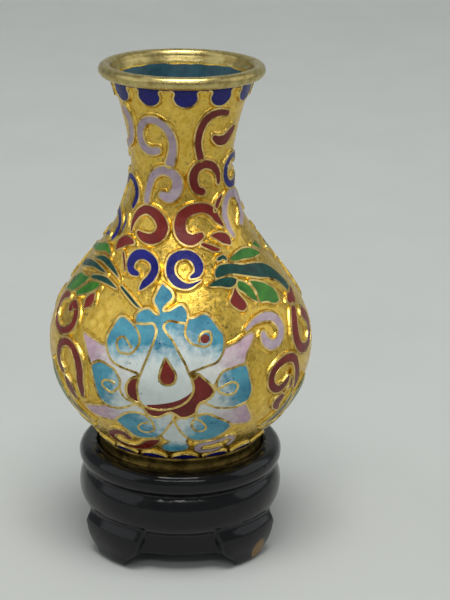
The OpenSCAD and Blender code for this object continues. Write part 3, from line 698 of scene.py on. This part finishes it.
# ---------------------------------------------------------------- the lotus
# Each petal: outline, then the fade's full colour point and its pale point
LOTUS_TURQUOISE = [
    ([(-2.98, 25.85), (-3.45, 25.9), (-4.16, 26.5), (-4.8, 26.5), (-5.5, 26.15), (-6.05, 25.6), (-6.2, 25),
      (-6.05, 24.35), (-4.8, 24.35), (-3.85, 24.55), (-3.4, 24.1), (-3.25, 23.35), (-3.55, 22.25),
      (-4.15, 20.7), (-4.8, 19.1), (-5.3, 17.8), (-5.67, 16.8), (-5.87, 15.7), (-5.8, 14.5), (-5.5, 13.4),
      (-4.83, 12.65), (-3.67, 12.3), (-2.33, 12.3), (-1, 12.65), (0, 13.1), (0.9, 13.85), (1.5, 14.8),
      (1.73, 15.8), (1.5, 16.9), (1.16, 17.8), (0.53, 19.3), (-0.4, 21), (-1.03, 22.25), (-1.8, 23.2),
      (-2.28, 24), (-2.1, 24.6), (-1.5, 25), (-0.5, 24.85), (0.7, 24.7), (0.92, 25.5), (0.85, 26.3),
      (0.4, 27.1), (0, 27.33), (-0.56, 27.1), (-1.5, 26.5), (-2.3, 26.35), (-2.1, 27), (-1.2, 27.95),
      (-1, 28.5), (-1.3, 29.3), (-2, 29.9), (-2.52, 30.2), (-2.9, 29.75), (-3.4, 28.65), (-3.7, 27.9),
      (-3.6, 27.3), (-3.1, 26.5)], (-1.8, 22.6), (-2, 18.6)),
    ([(-7.9, 25), (-7.1, 24.6), (-6.35, 24.1), (-6, 24.35), (-4.8, 24.35), (-3.85, 24.5), (-3.4, 24.1),
      (-3.3, 23.3), (-3.55, 22.25), (-4.15, 20.7), (-4.8, 19.1), (-5.3, 17.8), (-5.5, 17.4), (-6, 17.65),
      (-7.1, 17.9), (-8.4, 18.2), (-9.6, 18.8), (-10.3, 19.9), (-10.55, 21), (-10.3, 22.1), (-9.6, 23.35),
      (-8.7, 24.7)], (-8, 21.6), (-7.4, 18.6)),
    ([(1.16, 17.95), (2.2, 18.35), (3.5, 18.8), (4.75, 19.2), (5.5, 20.1), (5.85, 21.5), (5.75, 22.9),
      (5.1, 23.8), (4.5, 24.7), (3.9, 25.5), (3.27, 25.95), (2.55, 25.85), (1.8, 25.5), (0.9, 25.3),
      (0.75, 24.7), (-0.5, 24.85), (-1.5, 25), (-2.1, 24.6), (-2.25, 24), (-1.8, 23.2), (-1.03, 22.25),
      (-0.4, 21), (0.53, 19.3)], (3.4, 23), (2, 19.8)),
    ([(-13, 17.4), (-12.3, 18), (-11.5, 18.33), (-10.5, 18.2), (-9.33, 17.7), (-8.67, 16.9), (-8.33, 16.1),
      (-8.4, 15), (-7.9, 13.9), (-7, 13.3), (-6.2, 12.95), (-7.17, 12.33), (-8.5, 11.75), (-9.83, 11.67),
      (-11, 12.1), (-11.75, 12.83), (-12.25, 14), (-12.67, 15.7)], (-10.8, 14.5), (-7.8, 13.6)),
    ([(5.9, 18), (7, 18.2), (8.1, 18.45), (8.9, 18.45), (9.4, 17.7), (9.63, 16.6), (10, 15.3), (10, 14.2),
      (9.55, 13.05), (8.6, 12.5), (7.3, 12.15), (6, 12.25), (4.7, 12.55), (3.75, 13.1), (3.2, 13.6),
      (4.05, 14.25), (4.45, 15), (4.8, 15.8), (4.87, 16.6), (5.27, 17.4)], (8, 15), (5, 14)),
    ([(-0.75, 10.2), (-0.37, 9), (0.2, 7.7), (1, 6.6), (1.97, 5.95), (3.26, 5.8), (4.55, 6.1), (5.7, 6.9),
      (6.5, 7.7), (7.05, 8.5), (6.8, 9.2), (6, 10), (5.03, 10.7), (3.9, 11.45), (2.8, 11.4), (2.1, 11.1),
      (1.5, 11.2), (0.68, 10.85), (-0.1, 10.9)], (2.8, 8.5), (0, 9.5)),
    ([(-9.2, 9.2), (-8.7, 9.9), (-8, 10.65), (-7, 11.25), (-5.83, 11.4), (-4.8, 11.15), (-4.4, 11.3),
      (-3.67, 10.85), (-2.85, 10.95), (-2, 11.5), (-1.4, 11.75), (-0.95, 11.6), (-1.1, 10.3), (-1.5, 9.5),
      (-2, 8.3), (-2.67, 7.2), (-3.3, 6.5), (-4.33, 6.15), (-5.67, 6), (-6.5, 6.35), (-7.3, 7.2),
      (-8.5, 8.35)], (-5, 8), (-2, 10)),
    ([(-0.95, 10.35), (-0.6, 9.6), (-0.2, 8.6), (0.3, 7.6), (1, 6.7), (0.9, 5.9), (0.95, 5.1), (1.25, 4.3),
      (0.85, 3.4), (-0.1, 2.85), (-1.3, 2.65), (-2.3, 3.1), (-2.65, 4.1), (-2.1, 5), (-1.6, 5.6),
      (-2.3, 6.3), (-2.6, 7.1), (-2, 8.3), (-1.5, 9.4)], (-1, 4), (-0.8, 6)),
]
LOTUS_PINK = [
    ([(-14.7, 21.05), (-14.5, 21.6), (-13.8, 21.4), (-11, 20.7), (-10.55, 21), (-10.3, 19.9), (-9.6, 18.8),
      (-8.4, 18.2), (-7.1, 17.9), (-6, 17.6), (-5.7, 17.1), (-6.75, 16.7), (-7.4, 15.6), (-7.3, 14.2),
      (-6.4, 13.4), (-7, 13.3), (-7.9, 13.9), (-8.4, 15), (-8.33, 16.1), (-8.7, 16.9), (-9.3, 17.7),
      (-10.5, 18.2), (-11.5, 18.4), (-12.3, 18.1), (-13, 17.6), (-13.6, 18.6), (-14.2, 20)],
     (-12.6, 20.3), (-8.8, 18)),
    ([(1.16, 17.9), (2.2, 18.35), (3.5, 18.8), (4.75, 19.2), (5.5, 20.1), (5.9, 21), (6.3, 21.2),
      (7.6, 21.6), (8.9, 22.3), (10, 22.6), (10.4, 22), (9.9, 21), (9.2, 19.8), (8.8, 18.5), (8.1, 18.45),
      (7, 18.2), (5.9, 18), (5.27, 17.4), (4.87, 16.6), (4.4, 15.9), (3.9, 16.35), (3.1, 17.1),
      (2.4, 17.75)], (8.6, 21), (3.6, 18)),
    ([(3.1, 13.4), (3.75, 13.1), (4.7, 12.55), (6, 12.25), (7.3, 12.15), (8.6, 12.4), (9.2, 12.4),
      (9.6, 11.5), (10.1, 10.2), (10.2, 9), (9.6, 8.5), (8.4, 8.6), (7.1, 8.9), (6.6, 9.5), (5.6, 10.2),
      (4.6, 10.9), (3.6, 11.5), (2.8, 11.55), (2.2, 11.3), (2.1, 11.9), (2.2, 12.6), (2.6, 13.3)],
     (8.6, 10), (4.4, 12)),
    ([(-14.5, 10.2), (-14.2, 10.7), (-13.2, 11), (-11.8, 11.35), (-11, 11.7), (-9.83, 11.6), (-8.5, 11.7),
      (-7.17, 12.3), (-6.2, 12.8), (-5.5, 12.5), (-5, 12.2), (-4.6, 11.5), (-4.9, 11.2), (-5.83, 11.45),
      (-7, 11.3), (-8, 10.7), (-8.7, 9.9), (-9.2, 9.2), (-9.3, 9), (-11, 8.9), (-12.7, 9), (-13.8, 9.5)],
     (-10.4, 10), (-7, 11.8)),
]
LOTUS_RED = [
    [(-6, 17.1), (-6.75, 16.67), (-7.33, 15.83), (-7.5, 15), (-7.25, 14.1), (-6.67, 13.4), (-5.83, 13.17),
     (-5.6, 13.4), (-5.8, 14.5), (-5.87, 15.7), (-5.67, 16.8)],
    [(-5.2, 12.6), (-4.5, 11.4), (-3.67, 10.92), (-2.85, 11), (-2, 11.58), (-1.4, 11.85), (-0.75, 11.6),
     (-0.1, 11), (0.68, 10.95), (1.5, 11.35), (2.05, 11.8), (2.15, 12.4), (2.37, 13.1), (2.8, 13.55),
     (3.4, 13.8), (4.05, 14.25), (4.45, 15), (4.4, 15.6), (3.9, 16.35), (3.1, 17.1), (2.4, 17.7),
     (1.9, 17.2), (1.5, 16.9), (1.73, 15.8), (1.5, 14.8), (0.9, 13.85), (0, 13.1), (-1, 12.65),
     (-2.33, 12.3), (-3.67, 12.3), (-4.83, 12.65)],
]
GOURD_TEAR = [(-2, 19.9), (-1.3, 18.9), (-0.75, 18), (-0.62, 17.2), (-1, 16.45), (-1.75, 16.2),
              (-2.5, 16.45), (-2.88, 17.2), (-2.7, 18.2), (-2.4, 19.1)]
GOURD_BLUSH = [(-4.6, 12.9), (-3.2, 13.15), (-1.6, 13.5), (-0.2, 14), (0.9, 14.7), (1.45, 15.2),
               (1.3, 14.5), (0.9, 13.95), (0, 13.2), (-1, 12.75), (-2.33, 12.4), (-3.67, 12.4)]
PETAL_DOT = (3.2, 22.5, 0.62)
# Wires that curl inside the petals and end there
LOTUS_CURLS = [
    [(-7.9, 25), (-7.3, 24.75), (-6.35, 24), (-5.7, 23), (-5.55, 21.95), (-5.95, 21), (-6.8, 20.15),
     (-7.9, 20.05), (-8.5, 20.2), (-8.85, 21), (-8.7, 21.8), (-7.9, 22.25), (-7.3, 21.8), (-6.65, 20.85)],
    [(0.77, 24.75), (0.53, 23.65), (0.77, 22.7), (1.47, 21.9), (2.4, 21.6), (3.2, 21.45), (3.8, 21.7),
     (4.1, 22.4), (3.9, 23.3), (3.27, 23.5), (2.7, 23.2), (2.4, 22.5), (2.5, 21.95)],
    [(-8.33, 16.1), (-8.4, 15.4), (-8.67, 15), (-9.33, 14.33), (-9.75, 14.13), (-10.5, 14.4), (-11.1, 15),
     (-11, 15.6), (-10.33, 15.9), (-9.67, 15.83), (-9.13, 15.58)],
    [(4.8, 15.8), (5.03, 15.2), (5.68, 14.66), (6.65, 14.35), (7.45, 14.66), (7.85, 15.47), (7.53, 16.03),
     (6.8, 16.2), (5.84, 15.8), (5.03, 15.4)],
    [(2.13, 10.95), (1.56, 10), (1.56, 9.2), (1.97, 8.4), (2.77, 8.05), (3.4, 8.5), (3.34, 9.3),
     (2.77, 10.15), (2.13, 10.7)],
    [(-4.83, 11.1), (-4.08, 10.33), (-3.67, 9.33), (-3.58, 8.5), (-4, 7.83), (-4.83, 7.5), (-5.58, 7.9),
     (-5.83, 8.58), (-5.33, 9.33), (-4.33, 9.75)],
]

STEPS = 5              # steps between two points of a line


# CAD nodes whose names don't follow from the part of the pattern and the colour
OTHER_NODES = {("leaf", "dark_green"): "leaf_dark_enamel", ("leaf", "red"): "bud_red_enamel"}


def build_group(group, strokes, shapes, wider, wire_name):
    """One part of the pattern: a piece of cells for each colour, then their wires."""
    all_lines = []
    for colour in dict.fromkeys(list(strokes) + list(shapes)):
        lines = [stroke(points, STEPS, wider) for points in strokes.get(colour, [])]
        lines += [outline(points, STEPS) for points in shapes.get(colour, [])]
        cells = [(points, CELL_TOP, None) for points in lines]
        piece = enamel_piece(f"{group}_{colour}_cells", cells, MATERIALS[colour])
        node = OTHER_NODES.get((group, colour), f"{group}_{colour}_enamel")
        finish_piece(piece, "vase", f"{colour}_enamel", node)
        all_lines += lines
    wires = wire_piece(wire_name, all_lines, [])
    finish_piece(wires, "vase", "gilt_wire", f"{group}_wires")
    return wires


LAYER = 0.006          # where two petals' enamels meet under a wire, one lies this much lower
LOTUS_WIRE = 1.35      # how much wider than the others the lotus wires are
FOOT_WIRE = 0.8


def build_lotus():
    turquoise = [(outline(points), CELL_TOP, (full, pale)) for points, full, pale in LOTUS_TURQUOISE]
    pink = [(outline(points), CELL_TOP + LAYER, (full, pale)) for points, full, pale in LOTUS_PINK]
    red = [(outline(points), CELL_TOP + 2 * LAYER, None) for points in LOTUS_RED]
    red += [(outline(points), CELL_TOP - LAYER, None) for points in (GOURD_TEAR, GOURD_BLUSH)]
    red.append((dot(*PETAL_DOT), CELL_TOP - LAYER, None))
    petals = enamel_piece("lotus_petals_blue", turquoise, MATERIALS["turquoise"])
    finish_piece(petals, "vase", "turquoise_enamel", "lotus_turquoise_enamel", "lotus_white_enamel")
    tips = enamel_piece("lotus_petals_pink", pink, MATERIALS["pink"])
    finish_piece(tips, "vase", "pink_enamel", "lotus_pink_enamel")
    heart = enamel_piece("lotus_heart_red", red, MATERIALS["red"])
    finish_piece(heart, "vase", "red_enamel", "lotus_red_enamel")
    closed = [points for points, _, _ in turquoise + pink] + [points for points, _, _ in red[:2]]
    closed.append(outline(GOURD_TEAR))
    curls = [list(through(points, False, STEPS)) for points in LOTUS_CURLS]
    wires = wire_piece("lotus_outline_wires", closed, curls, scale=LOTUS_WIRE)
    finish_piece(wires, "vase", "gilt_wire", "lotus_wires")
    return wires


# One cell of each row of lappets; the rows begin at the same small turn
RIM_CELL = [(-2.2, 57.5), (-1.8, 57.45), (-1.62, 57.1), (-1.75, 56.55), (-1.57, 55.95), (-1.15, 55.45),
            (-0.6, 55.15), (0, 55.05), (0.6, 55.15), (1.15, 55.45), (1.57, 55.95), (1.75, 56.55),
            (1.62, 57.1), (1.8, 57.45), (2.2, 57.5)]
FOOT_CELL = [(-1.9, 0.3), (-1.5, 0.85), (-0.8, 1.35), (0, 1.55), (0.8, 1.35), (1.5, 0.85), (1.9, 0.3)]
RIM_COUNT, FOOT_COUNT = 12, 17
ROW_TURN = 3
BAND_S = 57.55         # the band that joins the rim's cells begins here


def rim_band():
    """One cell's share of the band between the lappets and the lip."""
    pitch = math.pi * float(CHART_R[-1]) / RIM_COUNT
    return [(-pitch, BAND_S), (pitch, BAND_S), (pitch, TOP_S), (-pitch, TOP_S)]


def build_row(end, cell, count, bands, wire_scale):
    """A row of lappets round the vase, with the bands behind them, and their wires."""
    angles = [ROW_TURN + 360 / count * k for k in range(count)]
    line = list(through(cell, False, STEPS))
    cells = [(line, CELL_TOP, None)] + [(band, CELL_TOP + LAYER, None) for band in bands]
    lappets = enamel_piece(f"{end}_lappets_cobalt", cells, MATERIALS["cobalt"], angles)
    finish_piece(lappets, "vase", "cobalt_enamel", f"{end}_border_enamel")
    wires = wire_piece(f"{end}_lappet_wires", [], [line], angles, wire_scale)
    finish_piece(wires, "vase", "gilt_wire", f"{end}_border_wires")
    return wires


# ---------------------------------------------------------------- copper shells, rings and lining
BRAZE_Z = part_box("copper_neck")[0].z / MM - SEAT
STIPPLE = 0.05         # how far the stippling moves the gilt ground
STIPPLE_SWING = 2.4    # the texture's full swing, as a multiple of that
STIPPLE_GRAIN = 0.55
STIPPLE_EDGE = 0.4     # the stippling dies out over this much at a piece's edges
STEPS_ROUND = 384
SHADE_REACH = 1.25     # painted shade darkens the ground as far as this from a wire
SHADE_FADE = 0.85      # and goes from bright to full painted shade over this much
WIRE_SAMPLE = 4        # every fourth point of the wires is enough to measure from
BOND = 0.02            # hairline between copper and lining


def wall_points(low, high, step, depth):
    """Points of a wall from height low to high, at a depth under the finished outline."""
    count = max(2, math.ceil((high - low) / step))
    h = np.linspace(low, high, count + 1)
    r = outline_r(h)
    lean = np.interp(h, ROWS_H, ROWS_LEAN)
    return [(float(a - depth * math.sqrt(1 + k * k)), float(b + SEAT)) for a, b, k in zip(r, h, lean)]


def near_wires(obj, wires):
    """Marks how close each point is to a wire, for the painted shade in the hollows beside them."""
    feet = [point.co for wire in wires for point in wire.data.vertices]
    tree = KDTree(len(feet) // WIRE_SAMPLE + 1)
    for i, co in enumerate(feet[::WIRE_SAMPLE]):
        tree.insert(co, i)
    tree.balance()
    values = np.array([tree.find(v.co)[2] for v in obj.data.vertices]) / MM
    # how much painted shade each point gets: full beside a wire, none beyond the reach
    layer = obj.data.attributes.new("recess", "FLOAT", "POINT")
    layer.data.foreach_set("value", np.clip((SHADE_REACH - values) / SHADE_FADE, 0, 1))


def stipple(obj, depth):
    """Hammers the outer face with a fine random texture that dies out at the piece's edges."""
    co = read_points(obj) / MM
    low, high = co[:, 2].min(), co[:, 2].max()
    finished_r = outline_r(np.clip(co[:, 2] - SEAT, FOOT_TOP, LIP_Z))
    outer = np.hypot(co[:, 0], co[:, 1]) > finished_r - depth * 1.6
    inside = np.clip(np.minimum(co[:, 2] - low, high - co[:, 2]) / STIPPLE_EDGE, 0, 1)
    group = obj.vertex_groups.new(name="face")
    for i in np.nonzero(outer)[0]:
        group.add([int(i)], float(inside[i]), "REPLACE")
    grain = bpy.data.textures.new("stipple_grain", "CLOUDS")
    grain.noise_scale = STIPPLE_GRAIN * MM
    grain.noise_depth = 2
    apply_modifier(obj, "DISPLACE", texture=grain, strength=STIPPLE * STIPPLE_SWING * MM,
                   mid_level=0.5, vertex_group="face", texture_coords="LOCAL")
    obj.vertex_groups.clear()


def ground_shell(name, low, high, wires, node):
    """A gilt copper shell between two heights, stippled outside, with painted shade beside the wires."""
    outer = wall_points(low, high, 0.3, GROUND + STIPPLE)
    inner = wall_points(low, high, 1.5, GROUND + COPPER - BOND)
    obj = turned(name, outer + inner[::-1], STEPS_ROUND)
    to_metres(obj)
    stipple(obj, GROUND + STIPPLE)
    near_wires(obj, wires)
    smooth_shading(obj, 60)
    obj.data.materials.append(MATERIALS["ground_gold"])
    finish_piece(obj, "vase", "gilt_ground", node)


def ripple(obj, size_mm, depth_mm, texture_name):
    """A slow unevenness over the whole piece, as left by hand work."""
    wave = bpy.data.textures.new(texture_name, "CLOUDS")
    wave.noise_scale = size_mm * MM
    apply_modifier(obj, "DISPLACE", texture=wave, strength=depth_mm * MM, mid_level=0.5,
                   texture_coords="LOCAL")


def build_rim():
    """The tube round the mouth, with a flange that reaches a little way down inside it."""
    flange_h, flange_over, flange_foot = 0.35, 0.08, 0.25
    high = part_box("rim_ring")[1]
    tube = RIM_TUBE_R
    middle_z = high.z / MM - tube
    ring_r = high.x / MM - tube
    circle = [(ring_r + tube * math.cos(a), middle_z + tube * math.sin(a))
              for a in np.radians(np.arange(-120, 181, 10))]
    lip_in = wall_points(LIP_Z - flange_h, LIP_Z, 0.2, GROUND + COPPER)
    flange = [(r - flange_over, z) for r, z in reversed(lip_in)]
    profile = circle + flange + [(lip_in[0][0] + flange_foot, lip_in[0][1])]
    obj = turned("rim_tube", profile, 192)
    to_metres(obj)
    ripple(obj, 2.2, 0.05, "rim_wave")
    smooth_shading(obj, 60)
    obj.data.materials.append(MATERIALS["rim_gold"])
    finish_piece(obj, "vase", "gilt_ring", "rim_ring")


def build_foot_ring():
    """The ring under the vase: a plain band with a shallow waist and broken edges."""
    low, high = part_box("foot_ring")
    top = (high.z - low.z) / MM
    outer, inner = FOOT_R, FOOT_R - FOOT_WALL
    profile = [(inner, 0), (outer - 0.15, 0), (outer, 0.12), (outer, top * 0.2),
               (outer - 0.12, top * 0.32), (outer - 0.2, top * 0.5), (outer - 0.18, top * 0.7),
               (outer - 0.05, top * 0.85), (outer - 0.02, top), (inner, top)]
    obj = turned("foot_ring_band", [(r, z + SEAT) for r, z in profile], 160)
    to_metres(obj)
    apply_modifier(obj, "BEVEL", width=0.06 * MM, segments=2, limit_method="ANGLE")
    smooth_shading(obj, 40)
    obj.data.materials.append(MATERIALS["foot_gold"])
    finish_piece(obj, "vase", "gilt_ring", "foot_ring")


def build_lining():
    """The coat of enamel inside, with an uneven upper edge."""
    floor = FOOT_TOP + COPPER
    top = LIP_Z - BARE_LIP
    edge_h = 2.5           # the wandering of the edge dies out this far below it
    outer = wall_points(floor, top, 0.8, GROUND + COPPER + BOND)
    inner = wall_points(floor + LINING, top, 0.8, GROUND + COPPER + LINING)
    profile = [(0, floor + SEAT)] + outer + inner[::-1] + [(0, floor + LINING + SEAT)]
    obj = turned("lining_coat", profile, 128, closed=False)
    to_metres(obj)
    co = read_points(obj)
    angle = np.arctan2(co[:, 1], co[:, 0])
    edge = np.clip((co[:, 2] / MM - SEAT - (top - edge_h)) / edge_h, 0, 1)
    wander = np.sin(5 * angle + 0.6) + 0.7 * np.sin(11 * angle + 2.1) + 0.5 * np.sin(23 * angle)
    co[:, 2] -= edge * (0.16 + 0.07 * wander) * MM
    write_points(obj, co)
    smooth_shading(obj, 50)
    obj.data.materials.append(MATERIALS["teal"])
    finish_piece(obj, "vase", "teal_enamel", "lining_enamel")


# ---------------------------------------------------------------- the stand
RECESS_R = 12.3
BEAD_R = RECESS_R + 2.7
STAND_TOP = STAND_HIGH.z / MM
LEG_H = 6.2
WAIST_H = LEG_H + (STAND_TOP - LEG_H) * 0.63
LEG_R = RECESS_R + 2.9
APRON_R = RECESS_R + 0.9
ARCH_W, ARCH_H = 15.4, 2.6
HOLLOW_R, HOLLOW_H = 9.5, 5.6
BEAD_BULGE = 2.0
BEAD_ANGLE = 1.13          # a bead's outline runs this far above and below its middle, in radians
BAR_LENGTH = 60            # cutting bars reach right through the stand
VOXEL = 0.27               # size of the remesh that rounds the carving under the lacquer
SMOOTH_PASSES = 10
WORN_FOOT = (11.4, -9.1, 1.2)
WORN_REACH, WORN_FADE = 2.2, 1.6
WORN_FROM_X = 10.4         # only the outward side of the foot is worn


def bead(low, high):
    """Part of a flat oval: the outline of one turned bead."""
    middle, half = (low + high) / 2, (high - low) / 2
    angles = np.linspace(-BEAD_ANGLE, BEAD_ANGLE, 11)
    radii = [BEAD_R - BEAD_BULGE + BEAD_BULGE * math.cos(a) for a in angles]
    heights = [middle + half * math.sin(a) / math.sin(BEAD_ANGLE) for a in angles]
    return list(zip(radii, heights))


def cutter(name, outline_points, length, angle):
    """A bar with a flat outline in X and Z, laid level through the axis and turned by an angle."""
    obj = line_curve(name, outline_points, True)
    obj.data.dimensions = "2D"
    obj.data.fill_mode = "BOTH"
    to_mesh(obj)
    thicken(obj, length)
    co = read_points(obj)
    flat = np.stack([co[:, 0], co[:, 2] - length / 2, co[:, 1]], axis=1)
    write_points(obj, flat @ turn_matrix(angle).T)
    tidy_faces(obj, 0.001)
    return obj


def cut_away(obj, tool, operation="DIFFERENCE"):
    apply_modifier(obj, "BOOLEAN", object=tool, operation=operation, solver="EXACT")
    bpy.data.objects.remove(tool)


def stand_legs():
    """Four curved legs: a turned ring kept only near the diagonals."""
    inner = HOLLOW_R + 0.5
    profile = [(inner, 0), (LEG_R - 1.5, 0), (LEG_R - 0.9, 0.5), (LEG_R - 0.5, 2), (LEG_R - 0.15, 3.2),
               (LEG_R, LEG_H * 0.72), (LEG_R - 0.1, LEG_H * 0.85), (LEG_R - 0.7, LEG_H),
               (LEG_R - 1.2, LEG_H + 0.5), (inner, LEG_H + 0.5)]
    ring = turned("legs", profile, 128)
    right = [(3.1, -1), (3.6, 1), (4.8, 3), (5.5, 5), (5.5, 8)]
    left = [(-x, z) for x, z in right]
    tapered = [left[0]] + right + left[:0:-1]
    bars = [cutter("bar", tapered, BAR_LENGTH, angle) for angle in (45, 135)]
    other = ring.copy()
    other.data = ring.data.copy()
    bpy.context.scene.collection.objects.link(other)
    cut_away(ring, bars[0], "INTERSECT")
    cut_away(other, bars[1], "INTERSECT")
    return join("legs", [ring, other])


def arch_outline():
    """The opening between two feet: an oval with full shoulders, open below."""
    power = 2 / 3.2
    half = ARCH_W / 2
    points = [(half, -1)]
    for a in np.radians(np.arange(0, 181, 9)):
        c = math.cos(a)
        points.append((half * math.copysign(abs(c) ** power, c), ARCH_H * abs(math.sin(a)) ** power))
    return points + [(-half, -1)]


def wear_one_foot(obj, co):
    """Marks where the lacquer is worn off one foot."""
    away = np.linalg.norm((co - np.array(WORN_FOOT) * MM) * np.array([1, 1, 0.7]), axis=1) / MM
    outward = (co[:, 0] > WORN_FROM_X * MM).astype(float)
    layer = obj.data.attributes.new("worn", "FLOAT", "POINT")
    layer.data.foreach_set("value", np.clip((WORN_REACH - away) / WORN_FADE, 0, 1) * outward)


def build_stand():
    """Two turned beads over an apron with four legs, hollow beneath, under thick soft lacquer."""
    profile = [(0, HOLLOW_H), (HOLLOW_R, HOLLOW_H), (HOLLOW_R, 0.05), (APRON_R, 0.05),
               (APRON_R, LEG_H - 0.4)]
    profile += bead(LEG_H, WAIST_H) + bead(WAIST_H, STAND_TOP)
    profile += [(RECESS_R, STAND_TOP), (RECESS_R, SEAT), (0, SEAT)]
    beads = turned("beads", profile, 128, closed=False)
    legs = stand_legs()
    for angle in (0, 90):
        cut_away(beads, cutter("arch", arch_outline(), BAR_LENGTH, angle))
        cut_away(legs, cutter("arch", arch_outline(), BAR_LENGTH, angle))
    obj = join("stand_lacquered", [beads, legs])
    apply_modifier(obj, "REMESH", mode="VOXEL", voxel_size=VOXEL, adaptivity=0)
    apply_modifier(obj, "SMOOTH", factor=0.5, iterations=SMOOTH_PASSES)
    to_metres(obj)
    ripple(obj, 6, 0.12, "lacquer_sag")
    co = read_points(obj)
    co[:, 2] = np.clip(co[:, 2], 0, STAND_HIGH.z)
    write_points(obj, co)
    wear_one_foot(obj, co)
    for polygon in obj.data.polygons:
        polygon.use_smooth = True
    obj.data.materials.clear()
    obj.data.materials.append(MATERIALS["lacquer"])
    finish_piece(obj, "stand", "black_lacquer", "stand")


# ---------------------------------------------------------------- camera, floor and light
CAMERA_AT = (0, -228.6, 114.4)
CAMERA_AIM = (0, 0, 37)
CAMERA_YAW, CAMERA_ROLL = -1.591, 0.75
CAMERA_LENS = 100.2


def add_camera():
    """A long lens a little above the vase, with the vase left of the middle."""
    place_at = Vector(CAMERA_AT) * MM
    aim = Vector(CAMERA_AIM) * MM - place_at
    aim = Matrix.Rotation(math.radians(CAMERA_YAW), 3, "Z") @ aim
    tilt = Quaternion((0, 0, 1), math.radians(CAMERA_ROLL))
    turn = (aim.to_track_quat("-Z", "Y") @ tilt).to_euler()
    bpy.ops.object.camera_add(location=place_at, rotation=turn)
    camera = bpy.context.object
    camera.data.sensor_fit = "VERTICAL"
    camera.data.sensor_height = 36
    camera.data.lens = CAMERA_LENS
    camera.data.clip_start = 0.01
    bpy.context.scene.camera = camera


def plain(name, colour, rough):
    """Matt paper with a faint unevenness."""
    material, tree, shader = new_material(name, specular=0.2)
    tone = levels(tree, noise(tree, 30, 2.0), 0.3, 0.7)
    tree.links.new(blend(tree, tone, linear(*colour), linear(*[v - 3 for v in colour])),
                   shader.inputs["Base Color"])
    shader.inputs["Roughness"].default_value = rough
    return material


def add_floor():
    """A pale sweep: floor, a wide bend and a wall behind."""
    front, bend, back, wide, tall = -1.2, 0.25, 0.75, 2.0, 1.6
    line = [(front, 0), (back - bend, 0)]
    line += [(back - bend + bend * math.sin(a), bend - bend * math.cos(a))
             for a in np.linspace(0.1, 1.57, 12)]
    line.append((back, tall))
    obj = line_curve("floor_sweep", [(0, y, z) for y, z in line], False)
    obj.data.dimensions = "3D"
    to_mesh(obj)
    start_edit(obj)
    bpy.ops.mesh.extrude_region_move(TRANSFORM_OT_translate={"value": (wide, 0, 0)})
    bpy.ops.mesh.select_all(action="SELECT")
    bpy.ops.transform.translate(value=(-wide / 2, 0, 0))
    bpy.ops.mesh.normals_make_consistent(inside=False)
    end_edit()
    smooth_shading(obj, 60)
    obj.data.materials.append(plain("floor_paper", (184, 187, 184), 0.8))


MIDDLE = (0, 0, 0.04)
# Each lamp: name, place, target, width, height, power, colour
LAMPS = [
    ("ceiling", (0.0, -0.25, 0.95), MIDDLE, 0.5, 0.3, 6.8, (1.0, 0.99, 0.97)),
    ("backdrop", (0.0, 0.1, 1.25), (0, 0.75, 1.1), 0.6, 0.2, 3.0, (0.97, 0.99, 1.0)),
    ("strip_in_front", (0.0, -0.62, 0.56), MIDDLE, 0.7, 0.04, 0.9, (1.0, 0.99, 0.97)),
    ("window_left", (-0.9, -0.25, 0.5), MIDDLE, 1.0, 0.9, 1.7, (0.95, 0.98, 1.0)),
    ("window_right", (0.9, 0.05, 0.5), MIDDLE, 0.9, 0.8, 1.5, (0.96, 0.98, 1.0)),
]
SKY_COLOUR = (0.92, 0.96, 1.0, 1)
SKY_STRENGTH = 0.29


def add_light(name, place_at, target, width, height, power, colour):
    bpy.ops.object.light_add(type="AREA", location=place_at)
    lamp = bpy.context.object
    lamp.name = name
    way = Vector(target) - Vector(place_at)
    lamp.rotation_euler = way.to_track_quat("-Z", "Y").to_euler()
    lamp.data.shape = "RECTANGLE"
    lamp.data.size = width
    lamp.data.size_y = height
    lamp.data.energy = power
    lamp.data.color = colour


def add_lights():
    for lamp in LAMPS:
        add_light(*lamp)
    world = bpy.data.worlds.new("room")
    bpy.context.scene.world = world
    world.use_nodes = True
    sky = world.node_tree.nodes["Background"]
    sky.inputs["Color"].default_value = SKY_COLOUR
    sky.inputs["Strength"].default_value = SKY_STRENGTH


# ---------------------------------------------------------------- everything
add_camera()
add_floor()
add_lights()
build_stand()
neck_wires = build_group("neck", NECK_STROKES, {}, 0.1, "neck_wire_scrolls")
shoulder_wires = build_group("shoulder", SHOULDER_STROKES, {}, 0.04, "shoulder_wire_scrolls")
leaf_wires = build_group("leaf", LEAF_STROKES, LEAF_SHAPES, 0.0, "leaf_outline_wires")
scroll_wires = build_group("scroll", SCROLL_STROKES, {}, 0.1, "scroll_outline_wires")
lotus_wires = build_lotus()
rim_wires = build_row("rim", RIM_CELL, RIM_COUNT, [rim_band()], 1.0)
foot_wires = build_row("foot", FOOT_CELL, FOOT_COUNT, [], FOOT_WIRE)
ground_shell("gilt_belly", FOOT_TOP, BRAZE_Z,
             [leaf_wires, scroll_wires, lotus_wires, shoulder_wires, foot_wires], "copper_belly")
ground_shell("gilt_neck", BRAZE_Z, LIP_Z,
             [neck_wires, shoulder_wires, leaf_wires, lotus_wires, rim_wires], "copper_neck")
build_rim()
build_foot_ring()
build_lining()

for node, material in (("base_disc", "copper"), ("base_enamel", "teal")):
    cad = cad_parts[node]
    cad.data.materials.clear()
    cad.data.materials.append(MATERIALS[material])

bpy.context.scene.view_settings.view_transform = "Standard"
